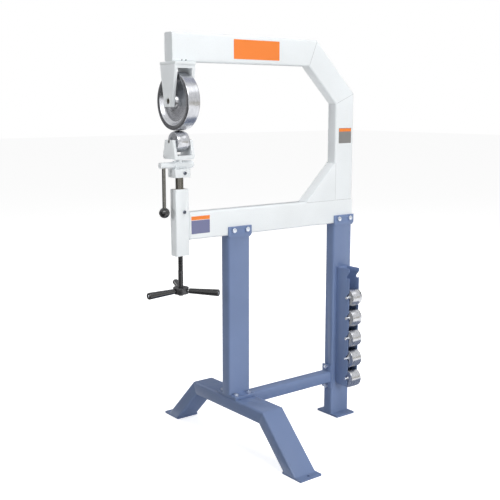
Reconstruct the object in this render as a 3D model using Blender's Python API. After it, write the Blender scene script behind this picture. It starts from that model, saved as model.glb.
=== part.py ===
"""English wheel: a hand cranked roller for sheet metal, on its own stand.

Lengths are in metres. +Z is up, and the origin is on the floor under the middle of the machine.
+X runs from the rolls to the back of the throat, and the rolls turn about X. The middle plane of the machine
is y = 0, and the side that is seen in front faces -Y.
"""

import math

import bmesh
import bpy
from mathutils import Matrix, Vector

# Fits, and helpers for the cuts
GAP = 0.0003
RUNNING = 0.0001
OVERRUN = 0.004
SOFT_EDGE = 0.0008
MERGE = 0.000001
FIT_STEPS = 28
FINE_STEPS = 28
ROUND_STEPS = 20
SMALL_STEPS = 12
CORNER_STEPS = 3
EDGE_STEPS = 2

# C frame of rectangular tube
TUBE_HIGH = 0.100
TUBE_DEEP = 0.050
TUBE_WALL = 0.005
TUBE_CORNER = 0.005
THROAT_HIGH = 0.529
FRONT_END = -0.384
COLUMN_BACK = 0.494
SLOPE_START_X = 0.288
SLOPE_DROP = 0.202
LOWER_BEAM_TOP = 0.929
GUSSET_RUN = 0.152
GUSSET_RISE = 0.148
GUSSET_WALL = 0.004
CAP_THICK = 0.005

# Upper wheel
ROLL_X = -0.346
ROLL_WIDE = 0.0508
WHEEL_RADIUS = 0.1016
WHEEL_BELOW_TOP = 0.2354
WHEEL_EDGE = 0.005
WHEEL_RIM_THICK = 0.019
WHEEL_WEB_THICK = 0.020
WHEEL_DISH = 0.008
HUB_RADIUS = 0.0255
HUB_PROUD = 0.0016
BEARING_OUTER = 0.020
BEARING_WIDE = 0.012
BEARING_LIP = 0.001
AXLE_RADIUS = 0.0085

# Anvils, which all fit the same axle
ANVIL_RADIUS = 0.0381
ANVIL_CROWN = 0.064
ANVIL_PIN = 0.00635
ANVIL_RECESS_RADIUS = 0.017
ANVIL_RECESS = 0.002
ANVIL_CORNER = 0.0025
CROWN_STEPS = 2

# Fork under the top beam
FORK_ARM = 0.0127
FORK_CLEAR = 0.0033
FORK_BRIDGE = 0.012
FORK_PLATE_THICK = 0.010
FORK_PLATE_DEEP = 0.100
FORK_TOP_DEEP = 0.092
FORK_TIP_DEEP = 0.046
FORK_TIP_BELOW_AXLE = 0.0195
BOSS_RADIUS = 0.014
AXLE_CAP_RADIUS = 0.0098
AXLE_CAP_HIGH = 0.0045
AXLE_CAP_SEAT = 0.0060
AXLE_CAP_CLEAR = 0.0005
AXLE_NUT_RADIUS = 0.0125
AXLE_NUT_HIGH = 0.012
AXLE_TAIL = 0.004

# Yoke under the anvil
YOKE_ARM = 0.0127
YOKE_CLEAR = 0.0049
YOKE_TOP_DEEP = 0.050
YOKE_BASE_DEEP = 0.076
YOKE_FLOOR_THICK = 0.014
YOKE_ABOVE_AXLE = 0.006
YOKE_FLOOR_CLEAR = 0.0105
YOKE_CORNER = 0.008
PIN_SHORT = 0.002
STEM_RADIUS = 0.012

# Quick release cam
CAM_DROP = 0.004
CAM_SWING_DEG = 90.0
CAM_SPARE_DEG = 10.0
CAM_TOP = 0.0072
CAM_CLEAR = 0.0024
CAM_STEPS = 20
SMALL_ANGLE = 0.0001
WINDOW_CLEAR = 0.0017
WINDOW_FOOT = 0.0091
CAM_JOURNAL = 0.011
CAM_TAIL = 0.0075
CAM_TAIL_LONG = 0.030
CAM_NOSE_X = -0.427
LEVER_RADIUS = 0.0065
LEVER_X = -0.411
LEVER_SEAT = 0.006
KNOB_RADIUS = 0.0195
KNOB_BELOW_CAM = 0.167
KNOB_HOLE = 0.0085
KNOB_FLAT = 0.0024

# Housing of the cam
BARREL_GAP = 0.005
BARREL_RADIUS = 0.015
BARREL_FRONT = -0.369
BARREL_BACK = -0.286
BARREL_DOME = 0.010
BLOCK_LONG = 0.064
BLOCK_DEEP = 0.052
BLOCK_HIGH = 0.030
BLOCK_EDGE = 0.002
BLOCK_LAP = 0.001
NECK_HALF = 0.010
NECK_UP = 0.004

# Lift column
SHAFT_RADIUS = 0.014
SHAFT_SHOWS = 0.042
SHAFT_SOCKET = 0.020
SHAFT_LONG = 0.186
SCREW_RADIUS = 0.0094
SLEEVE_WIDE = 0.056
SLEEVE_DEEP = 0.038
SLEEVE_WALL = 0.0045
SLEEVE_CORNER = 0.003
SLEEVE_LONG = 0.241
BUSH_LONG = 0.045
NUT_LONG = 0.032
KEY_OFFSET = 0.007
KEY_WIDE = 0.008
KEY_DEEP = 0.0045
KEY_ABOVE_BOLT = 0.052
KEY_BELOW_BOLT = 0.014
CLAMP_RADIUS = 0.0035
CLAMP_HEAD_RADIUS = 0.0062
CLAMP_HEAD_HIGH = 0.004
SLEEVE_BOLT_DOWN = 0.082

# Hand wheel with three handles
HUB_TOP_BELOW_SLEEVE = 0.117
HAND_HUB_RADIUS = 0.0290
HAND_HUB_HIGH = 0.024
HAND_HUB_EDGE = 0.003
HAND_HUB_FLOOR = 0.003
HAND_NOSE_RADIUS = 0.010
HAND_NOSE_HIGH = 0.007
HANDLE_COUNT = 3
HANDLE_FIRST_DEG = 184.7
SPOKE_RADIUS = 0.005
SPOKE_SEAT = 0.010
SPOKE_SHORT = 0.008
GRIP_START = 0.033
GRIP_END = 0.148
GRIP_ROOT_RADIUS = 0.0098
GRIP_TIP_RADIUS = 0.0128
GRIP_ROUND = 0.005

# Posts of the stand
POST_WIDE = 0.100
POST_DEEP = 0.050
STAND_WALL = 0.004
STAND_CORNER = 0.008
FRONT_POST_X = -0.096
SADDLE_WIDE = 0.108
SADDLE_THICK = 0.006
SADDLE_RISE = 0.033
SADDLE_DROP = 0.009
SADDLE_CHAMFER = 0.009
SADDLE_BOLT_SPREAD = 0.031
SADDLE_BOLT_UP = 0.019
BOLT_RADIUS = 0.006
BOLT_HEAD_RADIUS = 0.0098
BOLT_HEAD_HIGH = 0.0075
BOLT_TAIL = 0.003
FOOT_PLATE_THICK = 0.008
FOOT_PLATE_LONG = 0.100
REAR_PLATE_HALF = 0.061
BASE_PLATE_THICK = 0.010
BASE_PLATE_LONG = 0.096
BASE_PLATE_HALF = 0.062
BASE_BOLT_X = 0.030
BASE_BOLT_Y = 0.043
DRAIN_RADIUS = 0.012

# Splayed front feet
CROSS_TOP = 0.196
CROSS_WIDE = 0.100
CROSS_HIGH = 0.050
CROSS_HALF = 0.224
LEG_SLOPE_DEG = 45.0
FOOT_OUTER_Y = 0.441
FOOT_HOLE_INSET = 0.016
FOOT_HOLE_RADIUS = 0.006

# Brace between the feet
BRACE_TOP = 0.195
BRACE_HIGH = 0.047
BRACE_DEEP = 0.050
BRACE_PLATE_HALF = 0.050
BRACE_PLATE_THICK = 0.007
BRACE_PLATE_DEEP = 0.054
BRACE_BOLT_RISE = 0.042

# Rack for the spare anvils
RACK_WIDE = 0.0584
RACK_WALL = 0.003
RACK_DEEP = 0.071
RACK_TOP = 0.645
RACK_BOTTOM = 0.142
RACK_CORNER = 0.018
SPARE_COUNT = 5
NOTCH_COUNT = 6
SPARE_PITCH = 0.0868
FIRST_SPARE_Z = 0.176
SPARE_OUT = 0.0612
SPARE_PIN_PROUD = 0.004
NOTCH_LIP = 0.0047
NOTCH_SLOPE_DEG = 50.0
FLAT_CROWN = 2.5
SPARE_CROWNS = [0.300, FLAT_CROWN, 0.150, 0.100, 0.075]

# Each finish is a colour, a roughness and a metallic share
STEEL = ((0.62, 0.63, 0.66), 0.25, 1.0)
PLATED = ((0.72, 0.76, 0.82), 0.3, 1.0)
WHITE = ((0.80, 0.83, 0.85), 0.4, 0.0)
BLUE = ((0.16, 0.20, 0.32), 0.4, 0.0)
DARK = ((0.16, 0.15, 0.14), 0.35, 0.9)
OXIDE = ((0.02, 0.02, 0.022), 0.45, 0.6)
PLASTIC = ((0.012, 0.012, 0.013), 0.2, 0.0)
BRONZE = ((0.55, 0.38, 0.16), 0.4, 1.0)

# Places that follow from the sizes above
LOWER_BEAM_BOTTOM = LOWER_BEAM_TOP - TUBE_HIGH
FRAME_TOP = LOWER_BEAM_TOP + THROAT_HIGH + TUBE_HIGH
SLOPE_END_Z = FRAME_TOP - SLOPE_DROP
WHEEL_Z = FRAME_TOP - WHEEL_BELOW_TOP
HUB_WIDE = ROLL_WIDE + 2 * HUB_PROUD
FORK_WIDE = HUB_WIDE + 2 * (FORK_ARM + FORK_CLEAR)
YOKE_WIDE = ROLL_WIDE + 2 * (YOKE_ARM + YOKE_CLEAR)
TOP_BEAM_BOTTOM = FRAME_TOP - TUBE_HIGH
REAR_POST_X = COLUMN_BACK - POST_WIDE / 2
FORK_TOP = TOP_BEAM_BOTTOM - GAP - FORK_PLATE_THICK
ANVIL_Z = WHEEL_Z - WHEEL_RADIUS - ANVIL_RADIUS - GAP
YOKE_TOP = ANVIL_Z + YOKE_ABOVE_AXLE
YOKE_FLOOR = ANVIL_Z - ANVIL_RADIUS - YOKE_FLOOR_CLEAR
YOKE_BOTTOM = YOKE_FLOOR - YOKE_FLOOR_THICK
CAM_Z = YOKE_BOTTOM - BARREL_GAP - BARREL_RADIUS
BLOCK_TOP = CAM_Z - BARREL_RADIUS + BLOCK_LAP
BLOCK_BOTTOM = BLOCK_TOP - BLOCK_HIGH
WINDOW_HALF = CAM_TOP + WINDOW_CLEAR
CAM_HALF = STEM_RADIUS + 2 * GAP
CAM_RATE = CAM_DROP / math.radians(CAM_SWING_DEG)
SHAFT_TOP = BLOCK_BOTTOM + SHAFT_SOCKET
SHAFT_BOTTOM = SHAFT_TOP - SHAFT_LONG
SLEEVE_TOP = BLOCK_BOTTOM - SHAFT_SHOWS
SLEEVE_BOTTOM = SLEEVE_TOP - SLEEVE_LONG
SLEEVE_BOLT_Z = SLEEVE_TOP - SLEEVE_BOLT_DOWN
KEY_FLOOR = SHAFT_RADIUS - KEY_DEEP
HAND_HUB_TOP = SLEEVE_BOTTOM - HUB_TOP_BELOW_SLEEVE
HAND_Z = HAND_HUB_TOP - HAND_HUB_HIGH / 2
SLOPE_ANGLE = math.atan2(FRAME_TOP - SLOPE_END_Z, COLUMN_BACK - SLOPE_START_X)
BOLT_HOLE = BOLT_RADIUS + GAP
SADDLE_BOLT_Z = LOWER_BEAM_BOTTOM + SADDLE_BOLT_UP
BRACE_Z = BRACE_TOP - BRACE_HIGH / 2
RACK_BACK = -POST_DEEP / 2 - GAP
RACK_FRONT = RACK_BACK - RACK_DEEP
SPARE_Y = RACK_BACK - SPARE_OUT


def clear_scene():
    for item in list(bpy.data.objects):
        bpy.data.objects.remove(item, do_unlink=True)


def make_material(name, colour, roughness, metallic):
    material = bpy.data.materials.new(name)
    material.use_nodes = True
    shader = material.node_tree.nodes["Principled BSDF"]
    shader.inputs["Base Color"].default_value = (*colour, 1.0)
    shader.inputs["Roughness"].default_value = roughness
    shader.inputs["Metallic"].default_value = metallic
    return material


def add_object(name, shape, finish, place=(0, 0, 0), origin=None, is_round=False):
    """Makes an object of a bmesh, whose points are measured from place. Its parent is origin."""
    bmesh.ops.recalc_face_normals(shape, faces=shape.faces)
    mesh = bpy.data.meshes.new(name)
    shape.to_mesh(mesh)
    shape.free()
    if is_round:
        mesh.shade_smooth()
        mesh.set_sharp_from_angle(angle=math.radians(35))
    mesh.materials.append(make_material(name + "_finish", *finish))
    item = bpy.data.objects.new(name, mesh)
    bpy.context.scene.collection.objects.link(item)
    item.location = Vector(place) - (origin.location if origin else Vector())
    item.parent = origin
    return item


def add_joint_origin(name, place):
    """An empty on a joint's axis."""
    empty = bpy.data.objects.new(name, None)
    bpy.context.scene.collection.objects.link(empty)
    empty.location = place
    return empty


def combine(target, tool, operation):
    tool.hide_render = True
    tool.display_type = "WIRE"
    modifier = target.modifiers.new(tool.name, "BOOLEAN")
    modifier.operation = operation
    modifier.solver = "EXACT"
    modifier.object = tool
    return target


def cut(target, name, shape, place=(0, 0, 0)):
    """Cuts a bmesh out of the target."""
    return combine(target, add_object(name, shape, STEEL, place), "DIFFERENCE")


def join(target, name, shape, place=(0, 0, 0)):
    """Welds a bmesh onto the target."""
    tool = add_object(name, shape, STEEL, place)
    tool.data.materials.clear()
    tool.data.materials.append(target.data.materials[0])
    return combine(target, tool, "UNION")


def outline_point(axis, along, a, b):
    """A point of an outline, which is drawn in the two axes other than the given one."""
    return {"x": (along, a, b), "y": (a, along, b), "z": (a, b, along)}[axis]


def extruded(outline, axis, low, high):
    """A prism of the closed outline, from low to high along the axis."""
    shape = bmesh.new()
    face = shape.faces.new([shape.verts.new(outline_point(axis, low, a, b)) for a, b in outline])
    made = bmesh.ops.extrude_face_region(shape, geom=[face])["geom"]
    moved = [item for item in made if isinstance(item, bmesh.types.BMVert)]
    bmesh.ops.translate(shape, vec=outline_point(axis, high - low, 0, 0), verts=moved)
    return shape


def box(low, high):
    outline = [(low[0], low[1]), (high[0], low[1]), (high[0], high[1]), (low[0], high[1])]
    return extruded(outline, "z", low[2], high[2])


def rounded_rectangle(low_a, high_a, low_b, high_b, radius, steps=CORNER_STEPS):
    corners = [(high_a - radius, high_b - radius), (low_a + radius, high_b - radius)]
    corners += [(low_a + radius, low_b + radius), (high_a - radius, low_b + radius)]
    points = []
    for quarter, (a, b) in enumerate(corners):
        for i in range(steps + 1):
            angle = (quarter + i / steps) * math.pi / 2
            points.append((a + radius * math.cos(angle), b + radius * math.sin(angle)))
    return points


def circle(radius, steps):
    turns = [2 * math.pi * i / steps for i in range(steps)]
    return [(radius * math.cos(turn), radius * math.sin(turn)) for turn in turns]


def quarter_arc(radius, steps=CORNER_STEPS):
    """Points of a quarter circle, from (radius, 0) to (0, radius)."""
    turns = [math.pi / 2 * i / steps for i in range(steps + 1)]
    return [(radius * math.cos(turn), radius * math.sin(turn)) for turn in turns]


def face_along(shape, axis):
    """Turns a shape that was made along Z, so that it runs along the axis."""
    turns = {"x": (math.pi / 2, "Y"), "y": (-math.pi / 2, "X"), "z": (0, "Z")}
    angle, about = turns[axis]
    bmesh.ops.rotate(shape, cent=(0, 0, 0), matrix=Matrix.Rotation(angle, 3, about), verts=shape.verts)
    return shape


def turned(profile, axis, steps=ROUND_STEPS):
    """Spins a closed profile of (radius, distance along the axis) round the axis."""
    shape = bmesh.new()
    points = [shape.verts.new((radius, 0, along)) for radius, along in profile]
    edges = [shape.edges.new((a, b)) for a, b in zip(points, points[1:] + points[:1])]
    off_axis = [edge for edge in edges if max(point.co.x for point in edge.verts) > 0]
    spun = points + off_axis
    bmesh.ops.spin(shape, geom=spun, cent=(0, 0, 0), axis=(0, 0, 1), angle=2 * math.pi, steps=steps)
    bmesh.ops.remove_doubles(shape, verts=shape.verts, dist=MERGE)
    loose = [edge for edge in shape.edges if not edge.link_faces]
    bmesh.ops.delete(shape, geom=loose, context="EDGES")
    return face_along(shape, axis)


def rod(radius, low, high, axis, edge=0.0, steps=ROUND_STEPS):
    """A turned rod. Its ends are chamfered if edge isn't 0."""
    profile = [(0, low), (radius, low), (radius, high), (0, high)]
    if edge:
        profile = [(0, low), (radius - edge, low), (radius, low + edge)]
        profile += [(radius, high - edge), (radius - edge, high), (0, high)]
    return turned(profile, axis, steps)


def small_rod(radius, low, high, axis):
    return rod(radius, low, high, axis, 0.0, SMALL_STEPS)


def stepped_bore(steps_along, axis, steps=FIT_STEPS):
    """A tool for a bore whose radius changes in steps. Each step is (radius, low, high) along the axis."""
    profile = [(0, steps_along[0][1])]
    for radius, low, high in steps_along:
        profile += [(radius, low), (radius, high)]
    shape = turned(profile + [(0, steps_along[-1][2])], "z", steps)
    half_step = Matrix.Rotation(math.pi / steps, 3, "Z")
    bmesh.ops.rotate(shape, cent=(0, 0, 0), matrix=half_step, verts=shape.verts)
    return face_along(shape, axis)


def hexagon(radius, low, high, axis):
    return face_along(extruded(circle(radius, 6), "z", low, high), axis)


def add_bolt(name, place, axis, head, end):
    """A bolt along the axis from place: head holds its head's two ends, and end is its shank's."""
    bolt = add_object(name, hexagon(BOLT_HEAD_RADIUS, *head, axis), PLATED, place)
    middle = sum(head) / 2
    join(bolt, name + "_shank", small_rod(BOLT_RADIUS, min(middle, end), max(middle, end), axis), place)
    return bolt


def half_space(point, direction):
    """A large block beyond a plane through point. The direction, like the point, is (x, z)."""
    ahead = Vector(direction).normalized()
    side = Vector((-ahead.y, ahead.x))
    start = Vector(point)
    size = FRAME_TOP / 2
    outline = [start + side * size, start - side * size]
    outline += [outline[1] + ahead * size, outline[0] + ahead * size]
    return extruded([tuple(corner) for corner in outline], "y", -TUBE_HIGH, TUBE_HIGH)


def add_level_tube(name, x_low, x_high, z_low, z_high, finish, deep, wall, corner):
    """A tube along X, open at both ends."""
    half = deep / 2
    body = extruded(rounded_rectangle(-half, half, z_low, z_high, corner), "x", x_low, x_high)
    inner = rounded_rectangle(wall - half, half - wall, z_low + wall, z_high - wall, corner - wall / 2)
    bore = extruded(inner, "x", x_low - OVERRUN, x_high + OVERRUN)
    return cut(add_object(name, body, finish), name + "_bore", bore)


def add_upright_tube(name, x_low, x_high, z_low, z_high, finish, deep, wall, corner):
    """A tube along Z, open at both ends."""
    half = deep / 2
    body = extruded(rounded_rectangle(x_low, x_high, -half, half, corner), "z", z_low, z_high)
    inner = rounded_rectangle(x_low + wall, x_high - wall, wall - half, half - wall, corner - wall / 2)
    bore = extruded(inner, "z", z_low - OVERRUN, z_high + OVERRUN)
    return cut(add_object(name, body, finish), name + "_bore", bore)


def add_end_cap(tube, x_low, x_high, z_low, z_high):
    half = TUBE_DEEP / 2
    plate = extruded(rounded_rectangle(-half, half, z_low, z_high, TUBE_CORNER), "x", x_low, x_high)
    join(tube, tube.name + "_cap", plate)


def mitre_corners():
    """The outer and inner corners, as (x, z), of the upper mitre and then of the lower one."""
    upper_outer = (SLOPE_START_X, FRAME_TOP)
    upper_inner = (SLOPE_START_X - TUBE_HIGH * math.tan(SLOPE_ANGLE / 2), TOP_BEAM_BOTTOM)
    lower_outer = (COLUMN_BACK, SLOPE_END_Z)
    steep = math.pi / 2 - SLOPE_ANGLE
    lower_inner = (COLUMN_BACK - TUBE_HIGH, SLOPE_END_Z - TUBE_HIGH * math.tan(steep / 2))
    return (upper_outer, upper_inner), (lower_outer, lower_inner)


def cut_mitre(tube, name, corners, side):
    """Cuts a tube along a mitre, half a weld gap short of it. side 1 cuts away what is beyond it."""
    outer, inner = Vector(corners[0]), Vector(corners[1])
    run = (outer - inner).normalized()
    normal = Vector((run.y, -run.x)) * side
    cut(tube, name, half_space(inner - normal * GAP / 2, normal))


def add_diagonal_beam(upper, lower):
    half, high, wall = TUBE_DEEP / 2, TUBE_HIGH, TUBE_WALL
    end = math.dist(upper[0], lower[0]) + high
    body = extruded(rounded_rectangle(-half, half, -high, 0, TUBE_CORNER), "x", -high, end)
    inner = rounded_rectangle(wall - half, half - wall, wall - high, -wall, TUBE_CORNER - wall / 2)
    bore = extruded(inner, "x", -high - OVERRUN, end + OVERRUN)
    turn = Matrix.Rotation(SLOPE_ANGLE, 3, "Y")
    for shape in (body, bore):
        bmesh.ops.rotate(shape, cent=(0, 0, 0), matrix=turn, verts=shape.verts)
    place = (upper[0][0], 0, upper[0][1])
    beam = cut(add_object("diagonal_beam", body, WHITE, place), "diagonal_bore", bore, place)
    cut_mitre(beam, "diagonal_mitre_upper", upper, -1)
    cut_mitre(beam, "diagonal_mitre_lower", lower, 1)


def add_lower_beam():
    start = ROLL_X + SLEEVE_WIDE / 2 + GAP
    tube = (TUBE_DEEP, TUBE_WALL, TUBE_CORNER)
    beam = add_level_tube("lower_beam", start, COLUMN_BACK, LOWER_BEAM_BOTTOM, LOWER_BEAM_TOP, WHITE, *tube)
    add_end_cap(beam, COLUMN_BACK - CAP_THICK, COLUMN_BACK, LOWER_BEAM_BOTTOM, LOWER_BEAM_TOP)
    for middle in (FRONT_POST_X, REAR_POST_X):
        for side in (-1, 1):
            place = (middle + side * SADDLE_BOLT_SPREAD, 0, SADDLE_BOLT_Z)
            hole = small_rod(BOLT_HOLE, -TUBE_DEEP, TUBE_DEEP, "y")
            cut(beam, f"lower_beam_hole_{place[0]:.3f}", hole, place)


def add_corner_gusset():
    """Two side plates and a sloping one, open towards the column and the beam that they are welded to."""
    x, z, half = COLUMN_BACK - TUBE_HIGH - GAP, LOWER_BEAM_TOP + GAP, TUBE_DEEP / 2
    slope = GUSSET_RISE / GUSSET_RUN
    outside = [(x, z), (x - GUSSET_RUN, z), (x, z + GUSSET_RISE)]
    gusset = add_object("corner_gusset", extruded(outside, "y", -half, half), WHITE)
    plate_run = GUSSET_WALL * math.hypot(GUSSET_RUN, GUSSET_RISE) / GUSSET_RISE
    past = x + OVERRUN
    start = x - GUSSET_RUN + plate_run - OVERRUN / slope
    inside = [(past, z - OVERRUN), (start, z - OVERRUN), (past, z - OVERRUN + (past - start) * slope)]
    cut(gusset, "gusset_inside", extruded(inside, "y", GUSSET_WALL - half, half - GUSSET_WALL))


def add_c_frame():
    """Four box tubes with welded mitres and a gusset. The end caps belong to their tubes."""
    upper, lower = mitre_corners()
    tube = (TUBE_DEEP, TUBE_WALL, TUBE_CORNER)
    end = SLOPE_START_X + OVERRUN
    beam = add_level_tube("top_beam", FRONT_END, end, TOP_BEAM_BOTTOM, FRAME_TOP, WHITE, *tube)
    add_end_cap(beam, FRONT_END, FRONT_END + CAP_THICK, TOP_BEAM_BOTTOM, FRAME_TOP)
    cut_mitre(beam, "top_beam_mitre", upper, 1)
    add_diagonal_beam(upper, lower)
    low, high = LOWER_BEAM_TOP + GAP, SLOPE_END_Z + OVERRUN
    column = add_upright_tube("column", COLUMN_BACK - TUBE_HIGH, COLUMN_BACK, low, high, WHITE, *tube)
    cut_mitre(column, "column_mitre", lower, -1)
    add_lower_beam()
    add_corner_gusset()


def add_fork():
    """A plate welded under the beam, and a fork whose arms taper down to the wheel's axle."""
    left, right = ROLL_X - FORK_WIDE / 2, ROLL_X + FORK_WIDE / 2
    deep = FORK_PLATE_DEEP / 2
    add_object("fork_plate", box((left, -deep, FORK_TOP), (right, deep, FORK_TOP + FORK_PLATE_THICK)), WHITE)
    top, tip = FORK_TOP - GAP, WHEEL_Z - FORK_TIP_BELOW_AXLE
    shoulder = top - FORK_BRIDGE
    wide, narrow = FORK_TOP_DEEP / 2, FORK_TIP_DEEP / 2
    outline = [(-narrow, tip), (narrow, tip), (wide, shoulder), (wide, top), (-wide, top), (-wide, shoulder)]
    fork = add_object("fork", extruded(outline, "x", left, right), WHITE)
    inner_left, inner_right = left + FORK_ARM, right - FORK_ARM
    cut(fork, "fork_gap", box((inner_left, -2 * wide, tip - wide), (inner_right, 2 * wide, shoulder)))
    boss = (inner_right - inner_left - HUB_WIDE) / 2 - GAP
    join(fork, "fork_boss_left", small_rod(BOSS_RADIUS, -OVERRUN, boss, "x"), (inner_left, 0, WHEEL_Z))
    join(fork, "fork_boss_right", small_rod(BOSS_RADIUS, -boss, OVERRUN, "x"), (inner_right, 0, WHEEL_Z))
    far = FORK_WIDE / 2 + OVERRUN
    rows = [(AXLE_CAP_RADIUS + AXLE_CAP_CLEAR, -far, AXLE_CAP_SEAT - FORK_WIDE / 2)]
    rows.append((AXLE_RADIUS + GAP, AXLE_CAP_SEAT - FORK_WIDE / 2, far))
    cut(fork, "fork_bore", stepped_bore(rows, "x", SMALL_STEPS), (ROLL_X, 0, WHEEL_Z))


def add_wheel_axle():
    """A bolt through both arms, with its round head sunk in the front arm and a nut at the back."""
    place = (ROLL_X, 0, WHEEL_Z)
    side = FORK_WIDE / 2 + GAP
    nut_end = side + AXLE_NUT_HIGH
    seat = AXLE_CAP_SEAT - FORK_WIDE / 2 - GAP
    profile = [(0, seat - AXLE_CAP_HIGH), (AXLE_CAP_RADIUS - SOFT_EDGE, seat - AXLE_CAP_HIGH)]
    profile += [(AXLE_CAP_RADIUS, seat - AXLE_CAP_HIGH + SOFT_EDGE), (AXLE_CAP_RADIUS, seat)]
    profile += [(AXLE_RADIUS, seat), (AXLE_RADIUS, nut_end + AXLE_TAIL), (0, nut_end + AXLE_TAIL)]
    add_object("wheel_axle", turned(profile, "x", SMALL_STEPS), DARK, place, None, True)
    nut = add_object("axle_nut", hexagon(AXLE_NUT_RADIUS, side, nut_end, "x"), DARK, place)
    cut(nut, "axle_nut_bore", small_rod(AXLE_RADIUS + GAP, side - OVERRUN, nut_end + OVERRUN, "x"), place)


def mirrored(half_profile):
    """A closed profile from the half of it on the positive side of the middle, walked from bore to tread."""
    return half_profile + [(radius, -along) for radius, along in reversed(half_profile) if along > 0]


def wheel_profile():
    """The hub, the dished web and the rim of the upper wheel, with a seat for a bearing at each end."""
    half, web, hub = ROLL_WIDE / 2, WHEEL_WEB_THICK / 2, HUB_WIDE / 2
    bore = BEARING_OUTER + GAP
    rim = WHEEL_RADIUS - WHEEL_RIM_THICK
    seat, lip = hub - BEARING_WIDE, bore - BEARING_LIP
    profile = [(lip, seat), (bore, seat), (bore, hub), (HUB_RADIUS, hub)]
    profile += [(HUB_RADIUS + WHEEL_DISH, web), (rim - WHEEL_DISH, web)]
    profile += [(rim, half - WHEEL_EDGE / 2), (rim + WHEEL_EDGE / 2, half)]
    centre = (WHEEL_RADIUS - WHEEL_EDGE, half - WHEEL_EDGE)
    profile += [(centre[0] + a, centre[1] + b) for a, b in reversed(quarter_arc(WHEEL_EDGE, EDGE_STEPS))]
    return mirrored(profile)


def add_upper_wheel():
    origin = add_joint_origin("upper_wheel_joint", (ROLL_X, 0, WHEEL_Z))
    place = origin.location
    add_object("upper_wheel", turned(wheel_profile(), "x", FINE_STEPS), STEEL, place, origin, True)
    outer, inner = HUB_WIDE / 2, HUB_WIDE / 2 - BEARING_WIDE + GAP
    bore = AXLE_RADIUS + RUNNING
    for name, low, high in (("front", -outer, -inner), ("back", inner, outer)):
        profile = [(bore, low), (BEARING_OUTER, low), (BEARING_OUTER, high), (bore, high)]
        add_object(f"wheel_bearing_{name}", turned(profile, "x", 2 * SMALL_STEPS), STEEL, place, origin, True)


def anvil_profile(crown):
    """A roll with a crowned tread, chamfered corners, and a shallow recess round its bore at each end."""
    half = ROLL_WIDE / 2
    face = half - ANVIL_CORNER
    bore, recess = ANVIL_PIN + RUNNING, half - ANVIL_RECESS
    centre = ANVIL_RADIUS - crown
    end = centre + math.sqrt(crown**2 - face**2)
    profile = [(bore, recess), (ANVIL_RECESS_RADIUS, recess), (ANVIL_RECESS_RADIUS, half)]
    profile.append((end - ANVIL_CORNER, half))
    for i in range(CROWN_STEPS + 1):
        along = face * (CROWN_STEPS - i) / CROWN_STEPS
        profile.append((centre + math.sqrt(crown**2 - along**2), along))
    return mirrored(profile)


def add_anvil(name, crown, place):
    origin = add_joint_origin(name + "_joint", place)
    add_object(name, turned(anvil_profile(crown), "x"), STEEL, place, origin, True)


def cut_yoke_corners(yoke, left, right):
    """Rounds the two lower edges, which run along Y."""
    size = YOKE_CORNER
    for name, edge, side in (("left", left, 1), ("right", right, -1)):
        points = [(size - a, size - b) for a, b in quarter_arc(size, EDGE_STEPS)]
        points += [(size, -OVERRUN), (-OVERRUN, -OVERRUN), (-OVERRUN, size)]
        outline = [(edge + side * a, YOKE_BOTTOM + b) for a, b in points]
        cut(yoke, f"yoke_corner_{name}", extruded(outline, "y", -YOKE_BASE_DEEP, YOKE_BASE_DEEP))


def cut_pin_slots(yoke, left, right):
    """An open slot with a round floor in the top of each ear."""
    slot = ANVIL_PIN + GAP
    top = YOKE_TOP + OVERRUN
    steps = SMALL_STEPS // 2
    turns = [-math.pi * i / steps for i in range(steps + 1)]
    outline = [(-slot, top), (slot, top)]
    outline += [(slot * math.cos(turn), ANVIL_Z + slot * math.sin(turn)) for turn in turns]
    for name, start in (("left", left), ("right", right - YOKE_ARM)):
        tool = extruded(outline, "x", start - OVERRUN, start + YOKE_ARM + OVERRUN)
        cut(yoke, f"yoke_slot_{name}", tool)


def add_yoke():
    """A fork that holds the anvil's axle in two open slots, on a stem with a window for the cam."""
    origin = add_joint_origin("yoke_joint", (ROLL_X, 0, CAM_Z))
    left, right = ROLL_X - YOKE_WIDE / 2, ROLL_X + YOKE_WIDE / 2
    base, top = YOKE_BASE_DEEP / 2, YOKE_TOP_DEEP / 2
    outline = [(-base, YOKE_BOTTOM), (base, YOKE_BOTTOM), (base, YOKE_FLOOR)]
    outline += [(top, YOKE_TOP), (-top, YOKE_TOP), (-base, YOKE_FLOOR)]
    yoke = add_object("yoke", extruded(outline, "x", left, right), WHITE, (0, 0, 0), origin)
    gap_low = (left + YOKE_ARM, -2 * base, YOKE_FLOOR)
    cut(yoke, "yoke_gap", box(gap_low, (right - YOKE_ARM, 2 * base, YOKE_TOP + OVERRUN)))
    cut_yoke_corners(yoke, left, right)
    cut_pin_slots(yoke, left, right)
    foot = CAM_Z - WINDOW_HALF - WINDOW_FOOT
    stem = rod(STEM_RADIUS, foot, YOKE_BOTTOM + OVERRUN, "z", 0.0, FIT_STEPS)
    join(yoke, "yoke_stem", stem, (ROLL_X, 0, 0))
    low = (ROLL_X - 2 * STEM_RADIUS, -WINDOW_HALF, CAM_Z - WINDOW_HALF)
    high = (ROLL_X + 2 * STEM_RADIUS, WINDOW_HALF, CAM_Z + CAM_TOP + GAP)
    cut(yoke, "yoke_window", box(low, high))
    half = YOKE_WIDE / 2 - PIN_SHORT
    pin = rod(ANVIL_PIN, -half, half, "x", SOFT_EDGE, SMALL_STEPS)
    add_object("anvil_axle", pin, DARK, (ROLL_X, 0, ANVIL_Z), origin, True)
    add_anvil("anvil", ANVIL_CROWN, (ROLL_X, 0, ANVIL_Z))


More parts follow.
